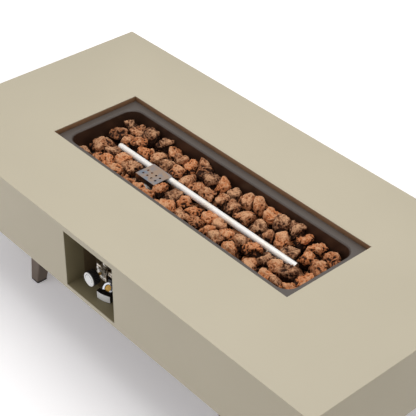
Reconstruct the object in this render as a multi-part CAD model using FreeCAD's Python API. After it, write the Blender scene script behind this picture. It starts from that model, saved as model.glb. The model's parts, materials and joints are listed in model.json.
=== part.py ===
import FreeCAD, Part
import math
import os
import random

# Fire pit table: a sheet metal casing on a welded frame and four splayed legs, with a gas burner
# in a tray of lava rock and its controls in a niche in the front. Millimetres. The origin lies on
# the floor under the middle of the table, X runs along the table, the niche faces -Y, Z is up.

Vector = FreeCAD.Vector
X_AXIS = Vector(1, 0, 0)
Y_AXIS = Vector(0, 1, 0)
Z_AXIS = Vector(0, 0, 1)

# Table and casing
table_length = 1618.0
table_width = 790.0
table_height = 450.0
casing_height = 212.0
sheet = 2.0
apron_return = 20.0

# Opening over the burner
opening_length = 964.0
opening_width = 300.0
opening_edge_depth = 18.0

# Control niche
niche_width = 207.0
niche_height = 181.0
niche_top_band = 18.0
niche_offset = 3.5
niche_depth = 60.0
niche_sheet = 1.5
niche_flange = 9.0
back_pan_depth = 39.0
back_pan_sheet = 1.2
pan_screw_radius = 1.5
pan_screw_head_radius = 2.8
pan_screw_head_height = 1.8

# Welded frame
rail_width = 25.0
rail_height = 50.0
rail_wall = 1.5
burner_rail = 25.0
base_rail_width = 100.0
base_rail_height = 25.0
niche_rail_gap = 3.0

# Legs
leg_place_x = 405.0
leg_place_y = 256.0
leg_top = 60.0
leg_foot = 35.0
leg_splay = 23.5
leg_wall = 2.0
leg_corner = 4.0
leg_plate = 100.0
leg_plate_thickness = 5.0
glide_height = 6.0
glide_plug_height = 14.0
glide_clearance = 0.3

# Leg bolts
bolt_radius = 4.0
bolt_hole_radius = 4.5
bolt_spacing = 80.0
bolt_head_height = 5.3
bolt_nut_height = 6.5
bolt_across_flats = 13.0
bolt_gap = 0.05

# Burner tray
tray_rim = 27.0
tray_lap = 14.0
tray_flange_thickness = 2.0
tray_wall = 1.5
tray_depth = 95.0
tray_corner = 38.0
tray_draft = 6.0
tray_rim_roll = 4.0
tray_foot_roll = 8.0
drain_hole_radius = 4.0
drain_place_x = 330.0
drain_place_y = 60.0

# Burner tube
burner_length = 730.0
burner_radius = 9.5
burner_wall = 1.2
burner_below_top = 58.0
port_radius = 2.0
port_pitch = 31.5
port_count = 23
port_drop_angle = 8.0
cap_thickness = 1.5
cap_plug_length = 6.0
fit_gap = 0.1
saddle_place_x = 270.0
saddle_width = 30.0
saddle_foot = 20.0
saddle_sheet = 1.5

# Gas feed under the burner
feed_radius = 8.0
feed_wall = 1.2
feed_drop = 30.0
feed_nut_height = 6.0
feed_nut_flats = 24.0
mixer_radius = 13.0
mixer_overlap = 20.0
mixer_floor = 5.0
mixer_chamber = 8.0
air_window_width = 9.0
elbow_side = 18.0
elbow_height = 16.0
jet_radius = 5.0
jet_length = 10.0
jet_bore_radius = 0.8

# Pilot group
pilot_cover_length = 81.0
pilot_cover_width = 67.0
pilot_cover_place_x = -177.5
pilot_cover_place_y = -27.5
pilot_cover_sheet = 1.5
pilot_cover_gap = 0.3
pilot_cover_lip = 16.0
pilot_cover_leg = 12.0
pilot_cover_foot = 10.0
pilot_hole_radius = 3.5
pilot_hole_pitch = 17.5
pilot_hole_rows = 2
pilot_hole_columns = 4
pilot_bracket_height = 20.0
pilot_bracket_sheet = 1.5
pilot_place = (-168.0, -38.0)
pilot_radius = 5.5
pilot_height = 26.0
sensor_place = (-187.0, -38.0)
sensor_radius = 2.6
sensor_height = 34.0
sensor_tip_round = 2.0
sensor_collar_radius = 5.2
spark_place = (-206.0, -28.0)
spark_ceramic_radius = 3.5
spark_ceramic_height = 33.0
spark_rod_radius = 1.2
spark_reach = 24.0
spark_collar_radius = 4.9
spark_bend = 2.4

# Valve and knob
valve_offset = 2.0
valve_below_top = 118.0
valve_radius = 19.0
valve_plate_height = 43.7
valve_plate_depth = 6.8
valve_boss_radius = 4.75
valve_arm_depth = 8.5
valve_length = 34.0
valve_neck_radius = 12.0
valve_neck_length = 22.0
valve_spigot_radius = 7.0
valve_spigot_length = 18.0
valve_nut_flats = 27.0
valve_nut_length = 5.0
stem_radius = 4.0
stem_flat = 3.0
stem_gap = 0.05
plunger_radius = 1.5
plunger_head_radius = 5.0
plunger_head_length = 2.0
valve_cavity_radius = 6.0
valve_spring_radius = 4.6
valve_port_radius = 8.5
valve_port_height = 32.0
valve_cap_height = 8.0
pilot_port_shift = (-18.0, 13.0)
sensor_port_shift = (-32.0, -2.0)
port_reach = 4.0
gland_nut_flats = 9.5
gland_nut_length = 6.3
outlet_nut_flats = 19.0
outlet_nut_length = 9.5
knob_radius = 21.0
knob_length = 21.0
knob_face_thickness = 2.0
knob_face_margin = 1.0
knob_face_edge = 0.8
knob_front_inset = 1.0
knob_flutes = 24
knob_flute_radius = 1.7
knob_wall = 2.5
knob_hub_radius = 8.0

# Pipes and leads
gas_pipe_radius = 4.0
gas_pipe_bore = 3.0
gas_pipe_bend = 20.0
burner_pipe_ahead = 50.0
burner_pipe_fall = 40.0
pilot_pipe_radius = 2.0
sensor_lead_radius = 1.2
spark_lead_radius = 2.5
small_bend = 15.0
lead_shift = 75.0
lead_fall = 60.0
pilot_pipe_ahead = 60.0
sensor_lead_ahead = 45.0
spark_lead_ahead = 45.0
spark_lead_shift = 90.0
spark_lead_fall = 75.0
pilot_pipe_drop = 30.0
sensor_lead_drop = 45.0
spark_lead_drop = 60.0
hole_clearance = 0.6
inlet_reach = 44.0
inlet_shelf_depth = 45.0
inlet_shelf_width = 40.0
inlet_shelf_height = 9.0
inlet_spigot_radius = 4.0
inlet_spigot_length = 25.0
inlet_bore = 2.0
inlet_thread_radius = 6.4
inlet_thread_length = 14.0
inlet_hex_flats = 22.0
inlet_hex_height = 10.0

# Igniter unit on the niche floor
igniter_place_x = 17.8
igniter_from_pan = 67.0
igniter_turn = 15.0
igniter_front_width = 46.0
igniter_front_height = 24.5
igniter_front_depth = 16.0
igniter_front_radius = 80.0
igniter_rear_width = 52.0
igniter_slope_start = 4.0
igniter_top_height = 35.0
igniter_depth = 60.0
igniter_wall = 1.6
igniter_lead_level = 18.0
igniter_label_thickness = 0.6
igniter_label_margin = 1.5
button_tilt = 45.0
button_shift = -5.0
button_radius = 10.0
button_gap = 0.2
button_flange_radius = 12.0
button_flange_thickness = 2.0
button_height = 2.5
bezel_radius = 17.0
bezel_height = 4.5
spring_radius = 6.0
spring_wire = 0.4
spring_turns = 5
spring_seat_depth = 14.0
spring_seat_width = 16.0
battery_radius = 5.25
battery_length = 44.5

# Lava rock
rock_pitch = 46.0
rock_jitter = 12.0
rock_skip_share = 0.07
rock_gap = 0.6
rock_wall_gap = 0.5
rock_reach = 36.0
rock_lower_rows = 5
rock_upper_rows = 2
rock_lower_level = 12.0
rock_upper_level = 50.0
rock_corner_cuts = 9
rock_corner_reach = (20.0, 31.0)
rock_top_reach = (16.0, 31.0)
rock_top_tilt = 0.4
heap_angle = 15.0
heap_front_start = 2.0
heap_back_start = 12.0
rock_lowest_cut = -0.35
rock_smallest = 1520.0
tray_corner_cuts = (22.5, 45.0, 67.5)
rock_seed = 11
same_point = 0.00001
sewing_reach = 0.001

# Values that follow from the sizes above
half_length = table_length / 2
half_width = table_width / 2
plate_bottom = table_height - sheet
casing_bottom = table_height - casing_height
inside_length = half_length - sheet
inside_width = half_width - sheet
rail_bottom = plate_bottom - rail_height
rail_inside_x = inside_length - rail_width
rail_inside_y = inside_width - rail_width
base_rail_bottom = casing_bottom + sheet
base_rail_top = base_rail_bottom + base_rail_height
post_place_y = inside_width - rail_width / 2

opening_edge = table_height - opening_edge_depth
opening_half_x = opening_length / 2
opening_half_y = opening_width / 2
tray_flange_bottom = opening_edge - tray_flange_thickness
tray_half_x = opening_half_x - tray_rim
tray_half_y = opening_half_y - tray_rim
tray_floor_bottom = tray_flange_bottom - tray_depth
tray_floor = tray_floor_bottom + tray_wall
burner_rail_bottom = tray_flange_bottom - burner_rail

niche_left = niche_offset - niche_width / 2
niche_right = niche_offset + niche_width / 2
niche_top = table_height - niche_top_band
niche_floor = niche_top - niche_height
niche_back = niche_depth - half_width
back_pan_face = niche_back + back_pan_depth
back_pan_back = back_pan_face + back_pan_sheet
pan_screw_hole = pan_screw_radius + bolt_gap

leg_plate_bottom = base_rail_bottom - leg_plate_thickness
leg_height = leg_plate_bottom - glide_height

burner_level = table_height - burner_below_top
burner_bottom = burner_level - burner_radius
feed_bottom = tray_floor_bottom - feed_drop
feed_hole_radius = feed_radius + 2 * fit_gap
mixer_bottom = feed_bottom - mixer_chamber - mixer_floor
elbow_bottom = mixer_bottom - elbow_height
elbow_level = mixer_bottom - elbow_height / 2

pilot_cover_bottom = burner_level + burner_radius + pilot_cover_gap
pilot_cover_top = pilot_cover_bottom + pilot_cover_sheet
pilot_cover_front = pilot_cover_place_y - pilot_cover_width / 2
pilot_cover_back = pilot_cover_place_y + pilot_cover_width / 2
pilot_cover_left = pilot_cover_place_x - pilot_cover_length / 2
pilot_cover_right = pilot_cover_place_x + pilot_cover_length / 2
pilot_bracket_top = tray_floor + pilot_bracket_height
pilot_bracket_bottom = pilot_bracket_top - pilot_bracket_sheet

valve_level = table_height - valve_below_top
valve_back = back_pan_face - valve_neck_length
valve_front = valve_back - valve_length
valve_nut_front = valve_front - valve_nut_length
knob_face_front = knob_front_inset - half_width
knob_front = knob_face_front + knob_face_thickness
knob_back = knob_front + knob_length
stem_front = knob_front + knob_wall
stem_back = valve_front + valve_length / 3
valve_cavity_back = valve_back - plunger_head_length
plunger_front = stem_front + 2 * plunger_radius

pilot_port = (valve_offset + pilot_port_shift[0], valve_level + pilot_port_shift[1])
sensor_port = (valve_offset + sensor_port_shift[0], valve_level + sensor_port_shift[1])
port_start = valve_back + port_reach
inlet_x = valve_offset + inlet_reach
inlet_y = valve_front + valve_length / 2
inlet_drop_y = back_pan_back + inlet_shelf_depth / 2
inlet_shelf_top = niche_floor + inlet_shelf_height
inlet_hex_top = inlet_shelf_top + inlet_hex_height
igniter_place = (igniter_place_x, back_pan_face - igniter_from_pan)


def box(x0, x1, y0, y1, z0, z1):
    """Rectangular block between two corners, in any order."""
    size = (abs(x1 - x0), abs(y1 - y0), abs(z1 - z0))
    return Part.makeBox(*size, Vector(min(x0, x1), min(y0, y1), min(z0, z1)))


def rod(radius, start, direction, length):
    """Round bar from a start point along a direction."""
    return Part.makeCylinder(radius, length, Vector(*start), direction)


def hollow_rod(radius, bore, start, direction, length):
    return rod(radius, start, direction, length).cut(rod(bore, start, direction, length))


def hexagon(across_flats, start, direction, length):
    """Hexagonal bar whose axis leaves the start point along a direction."""
    corner = across_flats / math.sqrt(3)
    points = [Vector(corner * math.cos(math.radians(60 * k)),
                     corner * math.sin(math.radians(60 * k)), 0) for k in range(7)]
    solid = Part.Face(Part.makePolygon(points)).extrude(Vector(0, 0, length))
    turn = FreeCAD.Rotation(Z_AXIS, direction)
    solid.Placement = FreeCAD.Placement(Vector(*start), turn)
    return solid


def nut(across_flats, bore, start, direction, length):
    return hexagon(across_flats, start, direction, length).cut(rod(bore, start, direction, length))


def box_tube(x0, x1, y0, y1, z0, z1, wall, along):
    """Rectangular tube, open at both ends along the named axis."""
    inset = {"x": (0, wall, wall), "y": (wall, 0, wall), "z": (wall, wall, 0)}[along]
    inner = box(x0 + inset[0], x1 - inset[0], y0 + inset[1], y1 - inset[1],
                z0 + inset[2], z1 - inset[2])
    return box(x0, x1, y0, y1, z0, z1).cut(inner)


def rounded_rectangle(half_x, half_y, corner, level, centre=(0.0, 0.0)):
    """Closed wire of four sides and four quarter arcs."""
    quarter = corner * (1 - math.sqrt(0.5))
    corners = ((1, 1), (-1, 1), (-1, -1), (1, -1))
    edges = []
    ends = []
    for sx, sy in corners:
        along = Vector(sx * (half_x - corner), sy * half_y, 0)
        across = Vector(sx * half_x, sy * (half_y - corner), 0)
        middle = Vector(sx * (half_x - quarter), sy * (half_y - quarter), 0)
        ends.append((across, middle, along) if sx * sy > 0 else (along, middle, across))
    place = Vector(centre[0], centre[1], level)
    for index, (start, middle, end) in enumerate(ends):
        next_start = ends[(index + 1) % len(ends)][0]
        edges.append(Part.Arc(start + place, middle + place, end + place).toShape())
        edges.append(Part.LineSegment(end + place, next_start + place).toShape())
    return Part.Wire(edges)


def bent_pipe(points, radius, bend, bore=0.0):
    """Pipe along straight runs that are joined by tangent arcs of one bend radius."""
    route = [Vector(*point) for point in points]
    edges = []
    start = route[0]
    for before, here, after in zip(route, route[1:], route[2:]):
        inward = (before - here).normalize()
        onward = (after - here).normalize()
        half_angle = inward.getAngle(onward) / 2
        run = bend / math.tan(half_angle)
        middle_run = bend / math.sin(half_angle) - bend
        arc_start = here + inward * run
        arc_end = here + onward * run
        arc_middle = here + (inward + onward).normalize() * middle_run
        edges.append(Part.LineSegment(start, arc_start).toShape())
        edges.append(Part.Arc(arc_start, arc_middle, arc_end).toShape())
        start = arc_end
    edges.append(Part.LineSegment(start, route[-1]).toShape())
    path = Part.Wire(edges)
    direction = (route[1] - route[0]).normalize()

    def sweep(size):
        ring = Part.Wire(Part.Circle(route[0], direction, size).toShape())
        return path.makePipeShell([ring], True, False)

    pipe = sweep(radius)
    if bore > 0:
        pipe = pipe.cut(sweep(bore))
    return pipe


def leg_corners():
    """Names and signs of the four legs."""
    return (("front_left", -1, -1), ("front_right", 1, -1),
            ("back_left", -1, 1), ("back_right", 1, 1))


# Casing

def make_top_panel():
    """Flat plate with edges folded down around the opening, onto the tray flange."""
    plate = box(-half_length, half_length, -half_width, half_width, plate_bottom, table_height)
    fold = box(-opening_half_x - sheet, opening_half_x + sheet,
               -opening_half_y - sheet, opening_half_y + sheet, opening_edge, plate_bottom)
    hole = box(-opening_half_x, opening_half_x, -opening_half_y, opening_half_y,
               opening_edge, table_height)
    return plate.fuse(fold).cut(hole).removeSplitter()


def make_long_apron(side):
    """Front or back sheet over the full length, with a return along its lower edge."""
    outer = side * half_width
    inner = side * inside_width
    wall = box(-half_length, half_length, outer, inner, casing_bottom, plate_bottom)
    lip = box(-inside_length, inside_length, inner, side * (inside_width - apron_return),
              casing_bottom, casing_bottom + sheet)
    return wall.fuse(lip).removeSplitter()


def make_front_apron():
    window = box(niche_left, niche_right, -half_width - sheet, -inside_width + sheet,
                 niche_floor, niche_top)
    return make_long_apron(-1).cut(window)


def make_end_apron(side):
    """End sheet between the long ones."""
    wall = box(side * half_length, side * inside_length, -inside_width, inside_width,
               casing_bottom, plate_bottom)
    lip_half = inside_width - apron_return
    lip = box(side * inside_length, side * (inside_length - apron_return), -lip_half, lip_half,
              casing_bottom, casing_bottom + sheet)
    return wall.fuse(lip).removeSplitter()


def niche_sleeve(front, back, thickness):
    """Four walls around the niche, with flanges at the chosen ends."""
    outer = box(niche_left - thickness, niche_right + thickness, front, back,
                niche_floor - thickness, niche_top + thickness)
    return outer.cut(box(niche_left, niche_right, front, back, niche_floor, niche_top))


def niche_rim(front, back):
    """Flat frame that stands out from the niche walls."""
    outer = box(niche_left - niche_flange, niche_right + niche_flange, front, back,
                niche_floor - niche_flange, niche_top + niche_flange)
    return outer.cut(box(niche_left, niche_right, front, back, niche_floor, niche_top))


def screw_places():
    """Places of the screws that hold the back pan to the niche box."""
    inset = (niche_flange + niche_sheet) / 2
    low = niche_floor + niche_height / 5
    high = niche_top - niche_height / 5
    columns = (niche_left - inset, niche_right + inset)
    return [(x, z) for x in columns for z in (low, high)]


def make_niche_box():
    sleeve = niche_sleeve(-inside_width, niche_back, niche_sheet)
    front = niche_rim(-inside_width, -inside_width + niche_sheet)
    back = niche_rim(niche_back - niche_sheet, niche_back)
    solid = sleeve.fuse([front, back]).removeSplitter()
    for x, z in screw_places():
        solid = solid.cut(rod(pan_screw_hole, (x, niche_back - 2 * niche_sheet, z), Y_AXIS,
                              4 * niche_sheet))
    return solid


def make_niche_screws():
    """Four small screws whose heads bear on the back pan flange."""
    screws = []
    for x, z in screw_places():
        flange_back = niche_back + back_pan_sheet
        shank = rod(pan_screw_radius, (x, niche_back - 3 * niche_sheet, z), Y_AXIS,
                    3 * niche_sheet + back_pan_sheet)
        head = rod(pan_screw_head_radius, (x, flange_back, z), Y_AXIS, pan_screw_head_height)
        screws.append(shank.fuse(head))
    return Part.makeCompound(screws)


def pan_holes():
    """Places and radii of the holes in the back pan: valve, pipes and leads."""
    past_web = back_pan_back - spark_lead_start()[1]
    spark_x = spark_lead_start()[0] - past_web * math.tan(math.radians(igniter_turn))
    return (
        (valve_offset, valve_level, valve_spigot_radius + fit_gap),
        (pilot_port[0], pilot_port[1], pilot_pipe_radius + hole_clearance),
        (sensor_port[0], sensor_port[1], sensor_lead_radius + hole_clearance),
        (inlet_x, valve_level, gas_pipe_radius + hole_clearance),
        (spark_x, spark_lead_start()[2], spark_lead_radius + 2 * hole_clearance),
    )


def make_back_pan():
    """Dark pan behind the niche. It carries the valve, and a shelf for the gas inlet."""
    thick = back_pan_sheet
    sleeve = niche_sleeve(niche_back, back_pan_back, thick)
    web = box(niche_left - thick, niche_right + thick, back_pan_face, back_pan_back,
              niche_floor - thick, niche_top + thick)
    rim = niche_rim(niche_back, niche_back + thick)
    shelf = box(inlet_x - inlet_shelf_width / 2, inlet_x + inlet_shelf_width / 2,
                back_pan_back, back_pan_back + inlet_shelf_depth,
                inlet_shelf_top - thick, inlet_shelf_top)
    solid = sleeve.fuse([web, rim, shelf]).removeSplitter()
    for x, z in screw_places():
        solid = solid.cut(rod(pan_screw_hole, (x, niche_back - thick, z), Y_AXIS, 4 * thick))
    for x, z, radius in pan_holes():
        solid = solid.cut(rod(radius, (x, back_pan_face - thick, z), Y_AXIS, 3 * thick))
    inlet_hole = rod(inlet_thread_radius + fit_gap,
                     (inlet_x, inlet_drop_y, inlet_shelf_top - 2 * thick), Z_AXIS, 4 * thick)
    return solid.cut(inlet_hole)


# Frame

def make_rim_rails():
    """Five rails round the top: two in front beside the niche, one behind, one at each end."""
    edge = niche_flange + niche_rail_gap
    spans = (
        (-inside_length, niche_left - edge, -inside_width, -rail_inside_y, "x"),
        (niche_right + edge, inside_length, -inside_width, -rail_inside_y, "x"),
        (-inside_length, inside_length, rail_inside_y, inside_width, "x"),
        (-inside_length, -rail_inside_x, -rail_inside_y, rail_inside_y, "y"),
        (rail_inside_x, inside_length, -rail_inside_y, rail_inside_y, "y"),
    )
    return Part.makeCompound([box_tube(x0, x1, y0, y1, rail_bottom, plate_bottom, rail_wall,
                                       along) for x0, x1, y0, y1, along in spans])


def make_burner_rails():
    """Rails beside the tray, which carry the long edges of its flange."""
    start = opening_half_y + sheet
    reach = opening_half_x + sheet
    return Part.makeCompound([
        box_tube(-reach, reach, *sorted((side * start, side * (start + burner_rail))),
                 burner_rail_bottom, tray_flange_bottom, rail_wall, "x")
        for side in (-1, 1)])


def make_cross_rails():
    """Rails across the table under the short edges of the tray flange."""
    start = opening_half_x + sheet
    return Part.makeCompound([
        box_tube(*sorted((side * start, side * (start + burner_rail))), -rail_inside_y,
                 rail_inside_y, burner_rail_bottom, tray_flange_bottom, rail_wall, "y")
        for side in (-1, 1)])


def make_top_stiffeners():
    """Two tubes that hold up the plate between the opening and the ends."""
    place = (opening_half_x + inside_length) / 2
    tubes = []
    for side in (-1, 1):
        middle = side * place
        tubes.append(box_tube(middle - burner_rail / 2, middle + burner_rail / 2,
                              -rail_inside_y, rail_inside_y, plate_bottom - burner_rail,
                              plate_bottom, rail_wall, "y"))
    return Part.makeCompound(tubes)


def make_base_rails():
    """Flat tubes across the underside that the leg plates bolt to."""
    half = base_rail_width / 2
    tubes = []
    for side in (-1, 1):
        middle = side * leg_place_x
        tube = box_tube(middle - half, middle + half, -inside_width, inside_width,
                        base_rail_bottom, base_rail_top, rail_wall, "y")
        for x, y in bolt_places():
            if x * side > 0:
                tube = tube.cut(rod(bolt_hole_radius, (x, y, base_rail_bottom - rail_wall),
                                    Z_AXIS, 3 * rail_wall))
        tubes.append(tube)
    return Part.makeCompound(tubes)


def make_frame_posts():
    """Four short posts between the base rails and the upper frame."""
    posts = []
    half = rail_width / 2
    for _, sx, sy in leg_corners():
        x = sx * leg_place_x
        y = sy * post_place_y
        posts.append(box_tube(x - half, x + half, y - half, y + half, base_rail_top,
                              rail_bottom, rail_wall, "z"))
    return Part.makeCompound(posts)


# Legs

def bolt_places():
    """Centres of the leg bolts, four on each plate."""
    half = bolt_spacing / 2
    return [(sx * leg_place_x + dx, sy * leg_place_y + dy)
            for _, sx, sy in leg_corners() for dx in (-half, half) for dy in (-half, half)]


def leg_section(level, inset, sx, sy):
    """Outline of one leg at a level, drawn in by an inset."""
    share = (leg_plate_bottom - level) / leg_height
    side = leg_top + (leg_foot - leg_top) * share
    shift = leg_splay * share
    centre = (sx * (leg_place_x + shift), sy * (leg_place_y + shift))
    corner = max(leg_corner - inset, leg_corner / 4)
    return rounded_rectangle(side / 2 - inset, side / 2 - inset, corner, level, centre)


def make_leg(sx, sy):
    outer = Part.makeLoft([leg_section(leg_plate_bottom, 0, sx, sy),
                           leg_section(glide_height, 0, sx, sy)], True, True)
    inner = Part.makeLoft([leg_section(leg_plate_bottom, leg_wall, sx, sy),
                           leg_section(glide_height, leg_wall, sx, sy)], True, True)
    return outer.cut(inner)


def make_leg_plate(sx, sy):
    half = leg_plate / 2
    x = sx * leg_place_x
    y = sy * leg_place_y
    plate = box(x - half, x + half, y - half, y + half, leg_plate_bottom, base_rail_bottom)
    for bx, by in bolt_places():
        if bx * sx > 0 and by * sy > 0:
            plate = plate.cut(rod(bolt_hole_radius, (bx, by, leg_plate_bottom), Z_AXIS,
                                  leg_plate_thickness))
    return plate


def make_leg_plates():
    return Part.makeCompound([make_leg_plate(sx, sy) for _, sx, sy in leg_corners()])


def make_leg_bolts():
    """Hexagon bolts from below, through the plate and the lower wall of the base rail."""
    bolts = []
    length = leg_plate_thickness + rail_wall + bolt_nut_height
    for x, y in bolt_places():
        head = hexagon(bolt_across_flats, (x, y, leg_plate_bottom - bolt_head_height), Z_AXIS,
                       bolt_head_height)
        bolts.append(head.fuse(rod(bolt_radius, (x, y, leg_plate_bottom), Z_AXIS, length)))
    return Part.makeCompound(bolts)


def make_leg_nuts():
    level = base_rail_bottom + rail_wall
    return Part.makeCompound([nut(bolt_across_flats, bolt_radius + bolt_gap, (x, y, level),
                                  Z_AXIS, bolt_nut_height) for x, y in bolt_places()])


def make_foot_glides():
    """Plastic glides: a pad under each leg and a plug up inside it."""
    glides = []
    plug_inset = leg_wall + glide_clearance
    for _, sx, sy in leg_corners():
        outline = leg_section(glide_height, 0, sx, sy)
        pad = Part.Face(outline).extrude(Vector(0, 0, -glide_height))
        plug = Part.makeLoft([leg_section(glide_height, plug_inset, sx, sy),
                              leg_section(glide_height + glide_plug_height, plug_inset, sx, sy)],
                             True, True)
        glides.append(pad.fuse(plug))
    return Part.makeCompound(glides)


# Burner tray

def pan_form(grow, top, floor):
    """Tray recess as a solid, with a rolled rim and foot, grown by a wall thickness."""
    lift = tray_rim_roll
    sections = (
        (top, tray_rim_roll),
        (top - lift, 0.0),
        (floor + tray_foot_roll, -tray_draft),
        (floor, -tray_draft - tray_foot_roll),
    )
    wires = [rounded_rectangle(tray_half_x + change + grow, tray_half_y + change + grow,
                               tray_corner + change + grow, level)
             for level, change in sections]
    return Part.makeLoft(wires, True, True)


def lead_holes():
    """Places and sizes of the holes in the tray floor for the pilot group."""
    return (
        (pilot_place, pilot_pipe_radius + hole_clearance),
        (sensor_place, sensor_lead_radius + hole_clearance),
        (spark_place, spark_lead_radius + hole_clearance),
    )


def make_burner_tray():
    """Pressed tray whose flange lies on the burner rails, under the edge of the opening."""
    flange = box(-opening_half_x - tray_lap, opening_half_x + tray_lap,
                 -opening_half_y - tray_lap, opening_half_y + tray_lap,
                 tray_flange_bottom, opening_edge)
    shell = pan_form(tray_wall, tray_flange_bottom, tray_floor_bottom)
    hollow = pan_form(0.0, opening_edge, tray_floor)
    tray = flange.fuse(shell).cut(hollow)
    start = tray_floor_bottom - tray_wall
    depth = 3 * tray_wall
    tray = tray.cut(rod(feed_hole_radius, (0, 0, start), Z_AXIS, depth))
    for (x, y), radius in lead_holes():
        tray = tray.cut(rod(radius, (x, y, start), Z_AXIS, depth))
    for x in (-drain_place_x, drain_place_x):
        for y in (-drain_place_y, drain_place_y):
            tray = tray.cut(rod(drain_hole_radius, (x, y, start), Z_AXIS, depth))
    return tray


# Burner

def make_burner_tube():
    """Straight tube with a row of ports low on each side and a hole for the feed."""
    start = (-burner_length / 2, 0, burner_level)
    tube = hollow_rod(burner_radius, burner_radius - burner_wall, start, X_AXIS, burner_length)
    drop = math.radians(port_drop_angle)
    first = -port_pitch * (port_count - 1) / 2
    drills = []
    for index in range(port_count):
        x = first + index * port_pitch
        for side in (-1, 1):
            direction = Vector(0, side * math.cos(drop), -math.sin(drop))
            drills.append(rod(port_radius, (x, 0, burner_level), direction,
                              burner_radius + port_radius))
    tube = tube.cut(drills)
    gas_way = rod(feed_radius - feed_wall, (0, 0, burner_bottom - burner_wall), Z_AXIS,
                  burner_radius)
    return tube.cut(gas_way)


def make_burner_end_caps():
    caps = []
    for side in (-1, 1):
        direction = Vector(side, 0, 0)
        end = side * burner_length / 2
        lid = rod(burner_radius, (end, 0, burner_level), direction, cap_thickness)
        plug = rod(burner_radius - burner_wall - fit_gap, (end, 0, burner_level),
                   direction * -1, cap_plug_length)
        caps.append(lid.fuse(plug))
    return Part.makeCompound(caps)


def make_burner_saddles():
    """Bent strips on the tray floor with notches that cradle the burner tube."""
    half = saddle_width / 2
    saddles = []
    for side in (-1, 1):
        x = side * saddle_place_x
        upright = box(x, x + side * saddle_sheet, -half, half, tray_floor, burner_level)
        foot = box(x, x + side * saddle_foot, -half, half, tray_floor,
                   tray_floor + saddle_sheet)
        notch = rod(burner_radius + fit_gap, (x - side * saddle_sheet, 0, burner_level),
                    X_AXIS * side, 3 * saddle_sheet)
        saddles.append(upright.cut(notch).fuse(foot))
    return Part.makeCompound(saddles)


def make_burner_feed():
    """Feed pipe between the mixer and the burner tube, through the tray floor."""
    pipe = hollow_rod(feed_radius, feed_radius - feed_wall, (0, 0, feed_bottom), Z_AXIS,
                      burner_level - feed_bottom)
    clear = rod(burner_radius + fit_gap, (-2 * feed_radius, 0, burner_level), X_AXIS,
                4 * feed_radius)
    return pipe.cut(clear)


def make_feed_nuts():
    """Two nuts that clamp the feed pipe to the tray floor."""
    bore = feed_radius + fit_gap
    upper = nut(feed_nut_flats, bore, (0, 0, tray_floor), Z_AXIS, feed_nut_height)
    lower = nut(feed_nut_flats, bore, (0, 0, tray_floor_bottom - feed_nut_height), Z_AXIS,
                feed_nut_height)
    return Part.makeCompound([upper, lower])


def make_mixer():
    """Cast air mixer with four windows, pushed over the feed pipe."""
    top = feed_bottom + mixer_overlap
    body = rod(mixer_radius, (0, 0, mixer_bottom), Z_AXIS, top - mixer_bottom)
    bore = rod(feed_radius + fit_gap, (0, 0, feed_bottom), Z_AXIS, top - feed_bottom)
    chamber = rod(feed_radius - feed_wall, (0, 0, mixer_bottom + mixer_floor), Z_AXIS,
                  mixer_chamber)
    jet_hole = rod(jet_radius + fit_gap, (0, 0, mixer_bottom), Z_AXIS, mixer_floor)
    windows = []
    level = mixer_bottom + mixer_floor + mixer_chamber / 8
    for along_x in (True, False):
        reach = 2 * mixer_radius
        half = air_window_width / 2
        span = (reach, half) if along_x else (half, reach)
        windows.append(box(-span[0], span[0], -span[1], span[1], level,
                           level + mixer_chamber * 3 / 4))
    return body.cut([bore, chamber, jet_hole] + windows)


def make_injector():
    """Brass elbow with the gas jet, under the mixer."""
    half = elbow_side / 2
    block = box(-half, half, -half, half, elbow_bottom, mixer_bottom)
    jet = rod(jet_radius, (0, 0, mixer_bottom), Z_AXIS, jet_length)
    socket = rod(gas_pipe_radius + fit_gap, (0, -half, elbow_level), Y_AXIS, half)
    drill = rod(jet_bore_radius, (0, 0, elbow_level), Z_AXIS, elbow_height + jet_length)
    return block.fuse(jet).cut(socket).cut(drill)


# Pilot group

def make_pilot_cover():
    """Perforated plate over the pilot, on two strip legs at the front and the burner tube."""
    left = pilot_cover_left
    right = pilot_cover_right
    front = pilot_cover_front
    thick = pilot_cover_sheet
    plate = box(left, right, front, pilot_cover_back, pilot_cover_bottom, pilot_cover_top)
    lip = box(left, right, front, front + thick, pilot_cover_bottom - pilot_cover_lip,
              pilot_cover_bottom)
    parts = [lip]
    for x in (left, right - pilot_cover_leg):
        parts.append(box(x, x + pilot_cover_leg, front, front + thick, tray_floor,
                         pilot_cover_bottom))
        parts.append(box(x, x + pilot_cover_leg, front - pilot_cover_foot, front + thick,
                         tray_floor, tray_floor + thick))
    solid = plate.fuse(parts).removeSplitter()
    first_x = pilot_cover_place_x - pilot_hole_pitch * (pilot_hole_columns - 1) / 2
    first_y = pilot_cover_front + pilot_cover_width / 4
    for column in range(pilot_hole_columns):
        for row in range(pilot_hole_rows):
            place = (first_x + column * pilot_hole_pitch, first_y + row * pilot_hole_pitch,
                     pilot_cover_bottom)
            solid = solid.cut(rod(pilot_hole_radius, place, Z_AXIS, thick))
    return solid


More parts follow.
